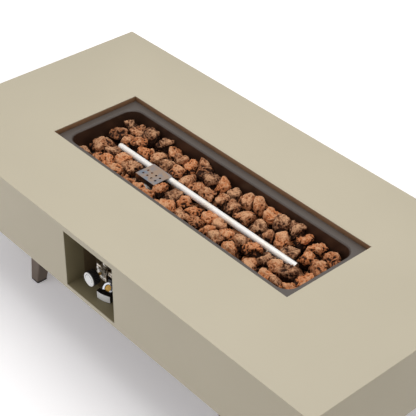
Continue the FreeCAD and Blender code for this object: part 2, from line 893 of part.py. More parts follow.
def make_pilot_bracket():
    """Small table on one leg that holds the pilot, the flame sensor and the electrode."""
    margin = 2 * pilot_radius
    front = pilot_cover_front + 3 * pilot_cover_sheet
    back = spark_place[1] + margin
    left = spark_place[0] - margin / 2
    right = pilot_place[0] + margin
    thick = pilot_bracket_sheet
    plate = box(left, right, front, back, pilot_bracket_bottom, pilot_bracket_top)
    middle = sensor_place[0]
    leg = box(middle - margin, middle + margin, front, front + thick, tray_floor,
              pilot_bracket_bottom)
    foot = box(middle - margin, middle + margin, front, front + margin / 2, tray_floor,
               tray_floor + thick)
    solid = plate.fuse([leg, foot]).removeSplitter()
    start = pilot_bracket_bottom - thick
    radii = (pilot_pipe_radius, sensor_radius, spark_ceramic_radius)
    for (x, y), radius in zip((pilot_place, sensor_place, spark_place), radii):
        solid = solid.cut(rod(radius + fit_gap, (x, y, start), Z_AXIS, 3 * thick))
    return solid


def make_pilot_burner():
    """Pilot burner: a short round head with a flame slot towards the burner tube."""
    x, y = pilot_place
    body = rod(pilot_radius, (x, y, pilot_bracket_top), Z_AXIS, pilot_height)
    bore_depth = pilot_height - pilot_radius / 2
    bore = rod(pilot_radius / 2, (x, y, pilot_bracket_top), Z_AXIS, bore_depth)
    slot = box(x - pilot_radius / 2, x + pilot_radius / 2, y, y + 2 * pilot_radius,
               pilot_bracket_top + pilot_height / 2, pilot_bracket_top + bore_depth)
    return body.cut([bore, slot])


def make_flame_sensor():
    """Thermocouple tip, held in the pilot bracket."""
    x, y = sensor_place
    collar = rod(sensor_collar_radius, (x, y, pilot_bracket_top), Z_AXIS,
                 sensor_collar_radius)
    tip = rod(sensor_radius, (x, y, pilot_bracket_bottom - sensor_radius), Z_AXIS, sensor_height)
    tip = tip.makeFillet(sensor_tip_round, [tip.Edges[0]])
    return collar.fuse(tip)


def make_spark_ceramic():
    x, y = spark_place
    base = pilot_bracket_bottom - spark_ceramic_height / 4
    body = rod(spark_ceramic_radius, (x, y, base), Z_AXIS, spark_ceramic_height)
    collar = rod(spark_collar_radius, (x, y, pilot_bracket_top), Z_AXIS,
                 spark_ceramic_radius)
    bore = rod(spark_rod_radius + bolt_gap, (x, y, base), Z_AXIS, spark_ceramic_height)
    return body.fuse(collar).cut(bore)


def make_spark_rod():
    """Electrode wire, bent over towards the pilot."""
    x, y = spark_place
    base = pilot_bracket_bottom - spark_ceramic_height / 4
    level = base + spark_ceramic_height + 3 * spark_rod_radius
    route = ((x, y, base), (x, y, level), (x + spark_reach, y, level))
    return bent_pipe(route, spark_rod_radius, spark_bend)


# Valve and knob

def make_valve_body():
    """Die-cast valve: a barrel behind the knob, ports on its sides, a threaded spigot behind."""
    axis = (valve_offset, valve_front, valve_level)
    barrel = rod(valve_radius, axis, Y_AXIS, valve_length)
    neck = rod(valve_neck_radius, (valve_offset, valve_back, valve_level), Y_AXIS,
               valve_neck_length)
    spigot = rod(valve_spigot_radius, (valve_offset, back_pan_face, valve_level), Y_AXIS,
                 valve_spigot_length)
    inlet = rod(valve_port_radius, (valve_offset, inlet_y, valve_level), X_AXIS,
                inlet_reach - elbow_side / 2)
    top = rod(valve_port_radius, (valve_offset, inlet_y, valve_level), Z_AXIS,
              valve_port_height)
    flat = box(valve_offset - valve_radius, valve_offset + valve_radius, valve_front,
               valve_front + valve_plate_depth, valve_level - valve_plate_height / 2,
               valve_level + valve_plate_height / 2)
    parts = [neck, spigot, inlet, top, flat]
    for x, z in (pilot_port, sensor_port):
        parts.append(rod(valve_boss_radius, (x, inlet_y, z), Y_AXIS, port_start - inlet_y))
        parts.append(box(min(x, valve_offset), max(x, valve_offset), inlet_y,
                         inlet_y + valve_arm_depth, z - valve_boss_radius,
                         z + valve_boss_radius))
    body = barrel.fuse(parts).removeSplitter()
    stem_bore = rod(stem_radius + stem_gap, axis, Y_AXIS, valve_cavity_back - valve_front)
    cavity_front = stem_back - plunger_head_length
    cavity = rod(valve_cavity_radius, (valve_offset, cavity_front, valve_level), Y_AXIS,
                 valve_cavity_back - cavity_front)
    outlet = rod(gas_pipe_bore, (valve_offset, valve_cavity_back, valve_level), Y_AXIS,
                 back_pan_face + valve_spigot_length - valve_cavity_back)
    return body.cut([stem_bore, cavity, outlet])


def make_valve_nuts():
    """Front nut round the stem, hexagon cap on the upper port, locknut behind the pan."""
    front = nut(valve_nut_flats, stem_radius + stem_gap, (valve_offset, valve_nut_front,
                valve_level), Y_AXIS, valve_nut_length)
    cap = hexagon(2 * valve_port_radius, (valve_offset, inlet_y,
                  valve_level + valve_port_height), Z_AXIS, valve_cap_height)
    lock = nut(valve_nut_flats, valve_spigot_radius + bolt_gap,
               (valve_offset, back_pan_back, valve_level), Y_AXIS, valve_nut_length)
    return Part.makeCompound([front, cap, lock])


def make_pipe_nuts():
    """Gland nuts on the pipes that leave the valve."""
    nuts = []
    for (x, z), radius in ((pilot_port, pilot_pipe_radius), (sensor_port, sensor_lead_radius)):
        nuts.append(nut(gland_nut_flats, radius + bolt_gap, (x, port_start, z), Y_AXIS,
                        gland_nut_length))
    outlet_start = back_pan_face + valve_spigot_length
    nuts.append(nut(outlet_nut_flats, gas_pipe_radius + bolt_gap,
                    (valve_offset, outlet_start, valve_level), Y_AXIS, outlet_nut_length))
    inlet_start = inlet_y + elbow_side / 2
    nuts.append(nut(elbow_side - 2 * bolt_gap, gas_pipe_radius + bolt_gap,
                    (inlet_x, inlet_start, valve_level), Y_AXIS, gland_nut_length))
    lock_level = inlet_shelf_top - back_pan_sheet - inlet_thread_radius
    nuts.append(nut(inlet_hex_flats, inlet_thread_radius + bolt_gap,
                    (inlet_x, inlet_drop_y, lock_level), Z_AXIS, inlet_thread_radius))
    return Part.makeCompound(nuts)


def make_inlet_elbow():
    """Bright cube elbow between the valve's side port and the inlet pipe."""
    half = elbow_side / 2
    block = box(inlet_x - half, inlet_x + half, inlet_y - half, inlet_y + half,
                valve_level - half, valve_level + half)
    block = block.makeChamfer(elbow_side / 10, block.Edges)
    socket = rod(gas_pipe_radius + bolt_gap, (inlet_x, inlet_y, valve_level), Y_AXIS, half)
    return block.cut(socket)


def make_valve_plunger():
    """Push rod inside the stem. It slides with the knob and doesn't turn."""
    shaft = rod(plunger_radius, (valve_offset, plunger_front, valve_level), Y_AXIS,
                stem_back - plunger_front + stem_gap)
    head = rod(plunger_head_radius, (valve_offset, stem_back + stem_gap, valve_level), Y_AXIS,
               plunger_head_length)
    return shaft.fuse(head)


def coil_spring(radius, wire, turns, length):
    """Open coil along Z from the origin, with its end wires inside the length."""
    rise = length - 3 * wire
    path = Part.makeHelix(rise / turns, rise, radius)
    ring = Part.Wire(Part.Circle(Vector(radius, 0, 0), Y_AXIS, wire).toShape())
    coil = Part.Wire(path).makePipeShell([ring], True, True)
    coil.translate(Vector(0, 0, 1.5 * wire))
    return coil


def make_valve_spring():
    """Spring behind the plunger, which pushes the knob out."""
    start = stem_back + stem_gap + plunger_head_length + fit_gap
    coil = coil_spring(valve_spring_radius, spring_wire, spring_turns,
                       valve_cavity_back - fit_gap - start)
    turn = FreeCAD.Rotation(Z_AXIS, Y_AXIS)
    place = FreeCAD.Placement(Vector(valve_offset, start, valve_level), turn)
    coil.Placement = place.multiply(coil.Placement)
    return coil


def flat_sided_rod(radius, flat, start, length):
    """Round bar along Y with one flat on top, for a keyed shaft."""
    x, y, z = start
    bar = rod(radius, start, Y_AXIS, length)
    return bar.cut(box(x - radius, x + radius, y, y + length, z + flat, z + 2 * radius))


def make_valve_stem():
    length = stem_back - stem_front
    keyed = knob_back - stem_front
    front = flat_sided_rod(stem_radius, stem_flat, (valve_offset, stem_front, valve_level),
                           keyed)
    rear = rod(stem_radius, (valve_offset, stem_front + keyed, valve_level), Y_AXIS,
               length - keyed)
    bore = rod(plunger_radius + stem_gap,
               (valve_offset, plunger_front - stem_gap, valve_level), Y_AXIS, length)
    return front.fuse(rear).cut(bore)


def make_knob():
    """Fluted knob, hollow behind, with a keyed hub on the valve stem."""
    start = (valve_offset, knob_front, valve_level)
    body = rod(knob_radius, start, Y_AXIS, knob_length)
    flutes = []
    for index in range(knob_flutes):
        angle = 2 * math.pi * index / knob_flutes
        x = valve_offset + (knob_radius + knob_flute_radius / 2) * math.cos(angle)
        z = valve_level + (knob_radius + knob_flute_radius / 2) * math.sin(angle)
        flutes.append(rod(knob_flute_radius, (x, knob_front + knob_wall, z), Y_AXIS,
                          knob_length))
    inner = knob_radius - 2 * knob_wall
    hollow = hollow_rod(inner, knob_hub_radius, (valve_offset, knob_front + knob_wall,
                        valve_level), Y_AXIS, knob_length)
    bore = flat_sided_rod(stem_radius + stem_gap, stem_flat + stem_gap,
                          (valve_offset, knob_front + knob_wall, valve_level), knob_length)
    return body.cut(flutes + [hollow, bore])


def make_knob_face():
    """Pale printed face on the front of the knob."""
    disc = rod(knob_radius - knob_face_margin, (valve_offset, knob_face_front, valve_level),
               Y_AXIS, knob_face_thickness)
    front = [edge for edge in disc.Edges
             if isinstance(edge.Curve, Part.Circle) and edge.Curve.Center.y < knob_front - 1]
    return disc.makeFillet(knob_face_edge, front)


# Pipes and leads

def make_burner_gas_pipe():
    """Gas pipe from the valve's rear spigot, down and back to the injector."""
    start = back_pan_face + valve_spigot_length
    first_bend = start + burner_pipe_ahead
    second_bend = first_bend + burner_pipe_fall
    route = (
        (valve_offset, start, valve_level),
        (valve_offset, first_bend, valve_level),
        (0.0, second_bend, elbow_level),
        (0.0, -fit_gap - gas_pipe_radius, elbow_level),
    )
    return bent_pipe(route, gas_pipe_radius, gas_pipe_bend, gas_pipe_bore)


def make_pilot_gas_pipe():
    x, z = pilot_port
    low = tray_floor_bottom - pilot_pipe_drop
    ahead = back_pan_back + pilot_pipe_ahead
    route = (
        (x, port_start, z),
        (x, ahead, z),
        (x - lead_shift, ahead + lead_fall, low),
        (pilot_place[0], pilot_place[1], low),
        (pilot_place[0], pilot_place[1], pilot_bracket_top),
    )
    return bent_pipe(route, pilot_pipe_radius, small_bend)


def make_sensor_lead():
    x, z = sensor_port
    low = tray_floor_bottom - sensor_lead_drop
    ahead = back_pan_back + sensor_lead_ahead
    route = (
        (x, port_start, z),
        (x, ahead, z),
        (x - lead_shift, ahead + lead_fall, low),
        (sensor_place[0], sensor_place[1], low),
        (sensor_place[0], sensor_place[1], pilot_bracket_bottom - sensor_radius),
    )
    return bent_pipe(route, sensor_lead_radius, small_bend)


def spark_lead_start():
    """Where the lead leaves the back of the igniter housing."""
    turn = math.radians(igniter_turn)
    return (igniter_place[0] - math.sin(turn) * igniter_depth,
            igniter_place[1] + math.cos(turn) * igniter_depth,
            niche_floor + igniter_lead_level)


def spark_lead_route():
    """Route of the insulated lead from the igniter to the electrode."""
    turn = math.radians(igniter_turn)
    start = spark_lead_start()
    leave = (start[0] - math.sin(turn) * spark_lead_ahead,
             start[1] + math.cos(turn) * spark_lead_ahead)
    low = tray_floor_bottom - spark_lead_drop
    return (
        start,
        (leave[0], leave[1], start[2]),
        (leave[0] - spark_lead_shift, leave[1] + spark_lead_fall, low),
        (spark_place[0], spark_place[1], low),
        (spark_place[0], spark_place[1], pilot_bracket_bottom - spark_ceramic_height / 4),
    )


def make_spark_lead():
    return bent_pipe(spark_lead_route(), spark_lead_radius, small_bend)


def make_inlet_pipe():
    """Gas pipe from the inlet fitting up and forward to the valve's elbow."""
    route = (
        (inlet_x, inlet_y + 2 * bolt_gap, valve_level),
        (inlet_x, inlet_drop_y, valve_level),
        (inlet_x, inlet_drop_y, inlet_shelf_top + inlet_hex_height / 2),
    )
    return bent_pipe(route, gas_pipe_radius, gas_pipe_bend, gas_pipe_bore)


def make_gas_inlet():
    """Inlet fitting through the shelf, with a plain spigot below for the gas hose."""
    centre = (inlet_x, inlet_drop_y)
    head = hexagon(inlet_hex_flats, (*centre, inlet_shelf_top), Z_AXIS, inlet_hex_height)
    thread_bottom = inlet_shelf_top - inlet_thread_length
    thread = rod(inlet_thread_radius, (*centre, thread_bottom), Z_AXIS, inlet_thread_length)
    spigot = rod(inlet_spigot_radius, (*centre, thread_bottom - inlet_spigot_length), Z_AXIS,
                 inlet_spigot_length)
    socket = rod(gas_pipe_radius + bolt_gap, (*centre, inlet_shelf_top + inlet_hex_height / 2),
                 Z_AXIS, inlet_hex_height)
    bore = rod(inlet_bore, (*centre, thread_bottom - inlet_spigot_length), Z_AXIS,
               inlet_hex_top - thread_bottom + inlet_spigot_length)
    return head.fuse([thread, spigot]).cut([socket, bore])


# Igniter unit, drawn with its front towards -Y and then turned and set on the niche floor

def at_igniter(shape):
    place = Vector(igniter_place[0], igniter_place[1], niche_floor)
    shape.Placement = FreeCAD.Placement(place, FreeCAD.Rotation(Z_AXIS, igniter_turn)).multiply(
        shape.Placement)
    return shape


def prism_along_x(points, half):
    """Solid of a (y, z) outline that reaches half a width to each side of the middle."""
    loop = [Vector(-half, y, z) for y, z in points]
    return Part.Face(Part.makePolygon(loop + loop[:1])).extrude(Vector(2 * half, 0, 0))


def igniter_block(inset):
    """Bowed front block and sloped rear block, drawn in by an inset on every side."""
    half = igniter_front_width / 2 - inset
    radius = igniter_front_radius - inset
    side_y = igniter_front_radius - math.sqrt(radius ** 2 - half ** 2)
    back = igniter_front_depth - inset
    arc = Part.Arc(Vector(-half, side_y, inset),
                   Vector(0, igniter_front_radius - radius, inset),
                   Vector(half, side_y, inset)).toShape()
    sides = Part.makePolygon([Vector(half, side_y, inset), Vector(half, back, inset),
                              Vector(-half, back, inset), Vector(-half, side_y, inset)])
    face = Part.Face(Part.Wire([arc] + sides.Edges))
    front = face.extrude(Vector(0, 0, igniter_front_height - 2 * inset))
    slope = math.tan(math.radians(button_tilt))
    drop = inset / math.cos(math.radians(button_tilt))
    top = igniter_top_height - inset
    slope_end = igniter_front_depth + (top - igniter_slope_start + drop) / slope
    rear = prism_along_x([
        (igniter_front_depth, inset),
        (igniter_front_depth, igniter_slope_start - drop),
        (slope_end, top),
        (igniter_depth - inset, top),
        (igniter_depth - inset, inset),
    ], igniter_rear_width / 2 - inset)
    return front, rear


def button_centre():
    """Middle of the sloped face, where the button sits."""
    rise = (igniter_top_height - igniter_slope_start) / 2
    run = rise / math.tan(math.radians(button_tilt))
    return igniter_front_depth + run, igniter_slope_start + rise


def at_button(shape):
    """Set a shape drawn about the Z axis on the sloped face, with Z pointing out of it."""
    y, z = button_centre()
    place = FreeCAD.Placement(Vector(button_shift, y, z), FreeCAD.Rotation(X_AXIS, button_tilt))
    shape.Placement = place.multiply(shape.Placement)
    return at_igniter(shape)


def spring_seat_outline():
    """Wedge on the case floor, square to the button, that stops short of the battery."""
    tilt = math.radians(button_tilt)
    y, z = button_centre()
    seat_y = y + spring_seat_depth * math.sin(tilt)
    seat_z = z - spring_seat_depth * math.cos(tilt)
    back = igniter_depth - igniter_wall - 2 * battery_radius - 2 * fit_gap
    front = seat_y - (seat_z - igniter_wall) / math.tan(tilt)
    return [(front, igniter_wall), (back, seat_z + (back - seat_y) * math.tan(tilt)),
            (back, igniter_wall)]


def upper_edges(solid, radius):
    """Circular edges of one radius at the highest level where there is one."""
    rings = [edge for edge in solid.Edges if isinstance(edge.Curve, Part.Circle)
             and abs(edge.Curve.Radius - radius) < bolt_gap]
    highest = max(edge.Curve.Center.z for edge in rings)
    return [edge for edge in rings if edge.Curve.Center.z > highest - bolt_gap]


def make_igniter_housing():
    """Black case: a bowed front block, and a rear one whose sloped face holds the button."""
    front, rear = igniter_block(0.0)
    hollow_front, hollow_rear = igniter_block(igniter_wall)
    shell = at_igniter(front.fuse(rear).removeSplitter().cut([hollow_front, hollow_rear]))
    seat = prism_along_x(spring_seat_outline(), spring_seat_width / 2)
    seat = at_igniter(seat.translated(Vector(button_shift, 0, 0)))
    opening = at_button(rod(button_radius + button_gap, (0, 0, -2 * igniter_wall), Z_AXIS,
                            4 * igniter_wall))
    lead = at_igniter(rod(spark_lead_radius + bolt_gap,
                          (0, igniter_depth - 2 * igniter_wall, igniter_lead_level), Y_AXIS,
                          3 * igniter_wall))
    return shell.fuse(seat).cut([opening, lead]).removeSplitter()


def make_igniter_label():
    """Blank pale plate that follows the bowed front."""
    height = igniter_front_height - 2 * igniter_label_margin
    base = (0, igniter_front_radius, igniter_label_margin)
    inner = igniter_front_radius + fit_gap
    ring = hollow_rod(inner + igniter_label_thickness, inner, base, Z_AXIS, height)
    half = igniter_front_width / 2 - igniter_label_margin
    window = box(-half, half, -igniter_front_depth, igniter_front_depth, 0,
                 igniter_front_height)
    return at_igniter(ring.common(window))


def make_igniter_bezel():
    ring = hollow_rod(bezel_radius, button_radius + button_gap, (0, 0, 0), Z_AXIS,
                      bezel_height)
    return at_button(ring.makeFillet(bezel_height / 2, upper_edges(ring, bezel_radius)))


def make_igniter_button():
    flange_top = -igniter_wall - button_gap
    flange = rod(button_flange_radius, (0, 0, flange_top - button_flange_thickness), Z_AXIS,
                 button_flange_thickness)
    cap = rod(button_radius, (0, 0, flange_top), Z_AXIS, button_height - flange_top)
    cap = cap.makeFillet(button_height / 2, upper_edges(cap, button_radius))
    return at_button(cap.fuse(flange))


def make_button_spring():
    """Coil spring between its seat in the housing and the button."""
    high = -igniter_wall - button_gap - button_flange_thickness - fit_gap
    low = fit_gap - spring_seat_depth
    coil = coil_spring(spring_radius, spring_wire, spring_turns, high - low)
    coil.translate(Vector(0, 0, low))
    return at_button(coil)


def make_igniter_battery():
    """Cell that lies across the back of the housing."""
    level = igniter_wall + battery_radius + fit_gap
    middle = igniter_depth - igniter_wall - battery_radius - fit_gap
    return at_igniter(rod(battery_radius, (-battery_length / 2, middle, level), X_AXIS,
                          battery_length))


# Lava rock

def plane_clip(faces, normal, distance):
    """Keep the part of a convex body of polygons where normal.point is at most distance."""
    kept = []
    rim = []
    for face in faces:
        result = []
        for here, after in zip(face, face[1:] + face[:1]):
            side_here = normal.dot(here) - distance
            side_after = normal.dot(after) - distance
            if side_here <= 0:
                result.append(here)
            if side_here * side_after < 0:
                cross = here + (after - here) * (side_here / (side_here - side_after))
                result.append(cross)
                rim.append(cross)
        if len(result) > 2:
            kept.append(result)
    if len(rim) > 2:
        middle = sum(rim, Vector()) * (1.0 / len(rim))
        first = (rim[0] - middle).normalize()
        second = normal.cross(first)
        rim.sort(key=lambda p: math.atan2((p - middle).dot(second), (p - middle).dot(first)))
        kept.append(tidy_loop(rim))
    return [face for face in kept if len(face) > 2]


def tidy_loop(points):
    """Drop points that repeat the one before them."""
    result = []
    for point in points:
        if not result or (point - result[-1]).Length > same_point:
            result.append(point)
    if len(result) > 1 and (result[0] - result[-1]).Length <= same_point:
        result.pop()
    return result


def cube_faces(centre, reach):
    """Six polygons of a cube about a centre, each anticlockwise from outside."""
    faces = []
    for axis in (X_AXIS, Y_AXIS, Z_AXIS):
        for sign in (-1, 1):
            normal = axis * sign
            first = Vector(axis.y, axis.z, axis.x)
            second = normal.cross(first)
            middle = centre + normal * reach
            corners = ((1, 1), (-1, 1), (-1, -1), (1, -1))
            faces.append([middle + first * (a * reach) + second * (b * reach)
                          for a, b in corners])
    return faces


def tray_planes():
    """Inner faces of the tray as half spaces, kept a little clear of the metal."""
    slope = tray_draft / (tray_depth - tray_foot_roll - tray_rim_roll)
    base = tray_floor + tray_foot_roll
    planes = [(Vector(0, 0, -1), -(tray_floor + rock_wall_gap))]
    for normal, reach in ((X_AXIS, tray_half_x), (Y_AXIS, tray_half_y)):
        for sign in (-1, 1):
            lean = (normal * sign - Vector(0, 0, slope)).normalize()
            point = normal * (sign * (reach - tray_draft)) + Vector(0, 0, base)
            planes.append((lean, lean.dot(point) - rock_wall_gap))
            foot = (normal * sign + Vector(0, 0, -1)).normalize()
            planes.append((foot, foot.dot(point) - rock_wall_gap))
    corner = tray_corner - tray_draft - tray_foot_roll
    round_x = tray_half_x - tray_draft - tray_foot_roll - corner
    round_y = tray_half_y - tray_draft - tray_foot_roll - corner
    for sx in (-1, 1):
        for sy in (-1, 1):
            for angle in tray_corner_cuts:
                turn = math.radians(angle)
                normal = Vector(sx * math.cos(turn), sy * math.sin(turn), 0)
                point = Vector(sx * round_x, sy * round_y, 0) + normal * corner
                planes.append((normal, normal.dot(point) - rock_wall_gap))
    return planes


def rock_free_boxes():
    """Spaces the rocks leave free: burner tube, feed, saddles and pilot group."""
    gap = 2 * rock_gap
    reach = burner_length / 2 + cap_thickness + gap
    girth = burner_radius + gap
    nut_half = feed_nut_flats / math.sqrt(3) + gap
    boxes = [
        ((-reach, -girth, burner_bottom - gap), (reach, girth, burner_level + girth)),
        ((-nut_half, -nut_half, tray_floor), (nut_half, nut_half, burner_level)),
        ((pilot_cover_left - gap, pilot_cover_front - pilot_cover_foot - gap, tray_floor),
         (pilot_cover_right + gap, pilot_cover_back + gap, pilot_cover_top + gap)),
    ]
    for side in (-1, 1):
        x0, x1 = sorted((side * (saddle_place_x - gap),
                         side * (saddle_place_x + saddle_foot + gap)))
        boxes.append(((x0, -saddle_width / 2 - gap, tray_floor),
                      (x1, saddle_width / 2 + gap, burner_level)))
    return boxes


def box_plane(seed, low, high):
    """Half space on the seed's side of a box, through the box face that is furthest out."""
    options = []
    for axis in range(3):
        unit = Vector(*[1.0 if k == axis else 0.0 for k in range(3)])
        options.append((seed[axis] - high[axis], unit * -1, -high[axis]))
        options.append((low[axis] - seed[axis], unit, low[axis]))
    return max(options, key=lambda option: option[0])


def rock_seeds(chance):
    """Centres of the rocks: a lower layer over the floor, an upper one beside the burner."""
    seeds = []
    columns = int(2 * tray_half_x // rock_pitch)
    first = -rock_pitch * (columns - 1) / 2
    lower_pitch = 2 * tray_half_y / rock_lower_rows
    side_width = tray_half_y - burner_radius
    upper_pitch = side_width / rock_upper_rows
    rows = [(-tray_half_y + lower_pitch * (row + 0.5), rock_lower_level)
            for row in range(rock_lower_rows)]
    for row in range(rock_upper_rows):
        distance = burner_radius + upper_pitch * (row + 0.5)
        rows += [(-distance, rock_upper_level), (distance, rock_upper_level)]
    for index, (y, level) in enumerate(rows):
        stagger = rock_pitch / 4 * (1 if index % 2 else -1)
        for column in range(columns):
            shift = [chance.uniform(-rock_jitter, rock_jitter) for _ in range(3)]
            if level == rock_upper_level and chance.random() < rock_skip_share:
                continue
            seeds.append((Vector(first + column * rock_pitch + stagger + shift[0], y + shift[1],
                                 tray_floor + level + shift[2] / 2), level))
    return seeds


def random_direction(chance):
    """Unit vector, more often upward than downward."""
    z = chance.uniform(rock_lowest_cut, 1)
    turn = chance.uniform(0, 2 * math.pi)
    flat = math.sqrt(max(0.0, 1 - z * z))
    return Vector(flat * math.cos(turn), flat * math.sin(turn), z)


def heap_plane(seed):
    """Half space under the slope of the heap, which rises from the burner tube outwards."""
    side = 1 if seed.y > 0 else -1
    start = heap_back_start if side > 0 else heap_front_start
    tilt = math.radians(heap_angle)
    normal = Vector(0, -side * math.sin(tilt), math.cos(tilt))
    return normal, normal.dot(Vector(0, 0, burner_level + start))


def make_rock(seed, seeds, walls, boxes, chance):
    """One lump: the space nearer to its seed than to any other, with its corners cut off."""
    faces = cube_faces(seed, rock_reach)
    for other, _ in seeds:
        span = other - seed
        if 0 < span.Length < 4 * rock_reach:
            normal = Vector(span).normalize()
            middle = (other + seed) * 0.5
            faces = plane_clip(faces, normal, normal.dot(middle) - rock_gap / 2)
    for normal, distance in walls:
        faces = plane_clip(faces, normal, distance)
    if abs(seed.x) < burner_length / 2:
        faces = plane_clip(faces, *heap_plane(seed))
    for low, high in boxes:
        inside, normal, distance = box_plane(seed, low, high)
        if inside <= rock_gap:
            return None
        if inside < rock_reach:
            faces = plane_clip(faces, normal, distance)
    cuts = [(random_direction(chance), chance.uniform(*rock_corner_reach))
            for _ in range(rock_corner_cuts)]
    tilt = [chance.uniform(-rock_top_tilt, rock_top_tilt) for _ in range(2)]
    cuts.append((Vector(*tilt, 1).normalize(), chance.uniform(*rock_top_reach)))
    for normal, reach in cuts:
        faces = plane_clip(faces, normal, normal.dot(seed) + reach)
    return faces


def polygon_solid(faces):
    """Closed solid of plane polygons."""
    shell = Part.makeShell([Part.Face(Part.makePolygon(face + face[:1])) for face in faces])
    shell.sewShape(sewing_reach)
    return Part.makeSolid(Part.Shell(shell.Faces))


def make_lava_rocks():
    """Rocks under the burner tube, in front of it and behind it, each a solid of its own."""
    chance = random.Random(rock_seed)
    seeds = rock_seeds(chance)
    walls = tray_planes()
    boxes = rock_free_boxes()
    groups = {"lava_rocks_lower": [], "lava_rocks_front": [], "lava_rocks_back": []}
    for seed, level in seeds:
        faces = make_rock(seed, seeds, walls, boxes, chance)
        if not faces:
            continue
        solid = polygon_solid(faces)
        if solid.Volume < rock_smallest:
            continue
        name = "lava_rocks_front" if seed.y < 0 else "lava_rocks_back"
        if level == rock_lower_level:
            name = "lava_rocks_lower"
        groups[name].append(solid)
    return {name: Part.makeCompound(solids) for name, solids in groups.items()}


def build():
    """All pieces by node name."""
    nodes = {
        "top_panel": make_top_panel(),
        "front_apron": make_front_apron(),
        "back_apron": make_long_apron(1),
        "left_apron": make_end_apron(-1),
        "right_apron": make_end_apron(1),
        "niche_box": make_niche_box(),
        "niche_back_pan": make_back_pan(),
        "niche_screws": make_niche_screws(),
        "rim_rails": make_rim_rails(),
        "burner_rails": make_burner_rails(),
        "cross_rails": make_cross_rails(),
        "top_stiffeners": make_top_stiffeners(),
        "base_rails": make_base_rails(),
        "frame_posts": make_frame_posts(),
        "leg_plates": make_leg_plates(),
        "leg_bolts": make_leg_bolts(),
        "leg_nuts": make_leg_nuts(),
        "foot_glides": make_foot_glides(),
        "burner_tray": make_burner_tray(),
        "burner_tube": make_burner_tube(),
        "burner_end_caps": make_burner_end_caps(),
        "burner_saddles": make_burner_saddles(),
        "burner_feed": make_burner_feed(),
        "feed_nuts": make_feed_nuts(),
        "mixer": make_mixer(),
        "injector": make_injector(),
        "pilot_cover": make_pilot_cover(),
        "pilot_bracket": make_pilot_bracket(),
        "pilot_burner": make_pilot_burner(),
        "flame_sensor": make_flame_sensor(),
        "spark_ceramic": make_spark_ceramic(),
        "spark_rod": make_spark_rod(),
        "valve_body": make_valve_body(),
        "valve_nuts": make_valve_nuts(),
        "valve_plunger": make_valve_plunger(),
        "valve_spring": make_valve_spring(),
        "valve_stem": make_valve_stem(),
        "knob": make_knob(),
        "knob_face": make_knob_face(),
        "pipe_nuts": make_pipe_nuts(),
        "inlet_elbow": make_inlet_elbow(),
        "burner_gas_pipe": make_burner_gas_pipe(),
        "pilot_gas_pipe": make_pilot_gas_pipe(),
        "sensor_lead": make_sensor_lead(),
        "spark_lead": make_spark_lead(),
        "inlet_pipe": make_inlet_pipe(),
        "gas_inlet": make_gas_inlet(),
        "igniter_housing": make_igniter_housing(),
        "igniter_label": make_igniter_label(),
        "igniter_bezel": make_igniter_bezel(),
        "igniter_button": make_igniter_button(),
        "button_spring": make_button_spring(),
        "igniter_battery": make_igniter_battery(),
    }
    for name, sx, sy in leg_corners():
        nodes["leg_" + name] = make_leg(sx, sy)
    nodes.update(make_lava_rocks())
    return nodes


def main():
    os.makedirs("parts", exist_ok=True)
    for name, shape in build().items():
        shape.exportStep("parts/" + name + ".step")
        print(name, len(shape.Solids), "solids, valid" if shape.isValid() else "solids, INVALID")


main()
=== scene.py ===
import json
import math
import random

import bmesh
import bpy
import numpy as np
from bpy.props import FloatProperty, FloatVectorProperty, IntProperty, PointerProperty
from mathutils import Euler, Matrix, Vector, noise


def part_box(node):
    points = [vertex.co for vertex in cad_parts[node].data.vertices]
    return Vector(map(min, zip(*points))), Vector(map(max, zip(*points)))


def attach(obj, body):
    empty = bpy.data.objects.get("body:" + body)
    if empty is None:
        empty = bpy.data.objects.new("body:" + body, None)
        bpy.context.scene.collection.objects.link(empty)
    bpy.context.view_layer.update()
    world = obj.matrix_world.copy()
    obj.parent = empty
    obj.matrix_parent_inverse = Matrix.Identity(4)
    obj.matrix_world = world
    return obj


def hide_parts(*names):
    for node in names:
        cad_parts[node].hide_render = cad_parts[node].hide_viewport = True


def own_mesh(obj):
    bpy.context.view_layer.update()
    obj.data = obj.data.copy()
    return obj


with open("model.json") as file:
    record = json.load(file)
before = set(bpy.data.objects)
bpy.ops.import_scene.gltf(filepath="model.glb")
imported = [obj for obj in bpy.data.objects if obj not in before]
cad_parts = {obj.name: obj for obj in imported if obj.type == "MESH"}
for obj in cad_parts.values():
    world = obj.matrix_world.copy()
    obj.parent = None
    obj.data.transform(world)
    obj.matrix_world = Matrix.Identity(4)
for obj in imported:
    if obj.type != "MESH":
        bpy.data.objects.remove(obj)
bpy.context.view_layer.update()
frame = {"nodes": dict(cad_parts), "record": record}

bl_info = {
    "name": "Fire pit table",
    "version": (1, 0, 0),
    "blender": (4, 5, 0),
    "location": "View3D > Sidebar > Fire Pit",
    "description": "Finishes and visible pieces of a fire pit table around its CAD frame",
    "category": "Add Mesh",
}

NODES = frame["nodes"]
MM = 0.001
SAME_POINT = 0.01 * MM
# Edges under the first angle are flat, those over the second are shown sharp, and those over
# the third may be rounded
FLAT_ANGLE = math.radians(0.5)
SHARP_ANGLE = math.radians(40)
ROUNDED_ANGLE = math.radians(50)
# The collar that the valve's stem comes out of stands this high on the valve's plate
COLLAR_HEIGHT = 5 * MM


def srgb(code):
    """Linear colour of an sRGB hex code."""
    channels = [int(code[k:k + 2], 16) / 255 for k in (0, 2, 4)]
    return tuple(c / 12.92 if c <= 0.04045 else ((c + 0.055) / 1.055) ** 2.4 for c in channels)


def paint(label, note, code):
    """Colour property with its default from a hex code."""
    return FloatVectorProperty(name=label, description=note, subtype="COLOR", size=3, min=0,
                               max=1, default=srgb(code))


def length(label, note, millimetres):
    """Length property with its default in millimetres."""
    return FloatProperty(name=label, description=note, unit="LENGTH", min=0,
                         default=millimetres * MM)


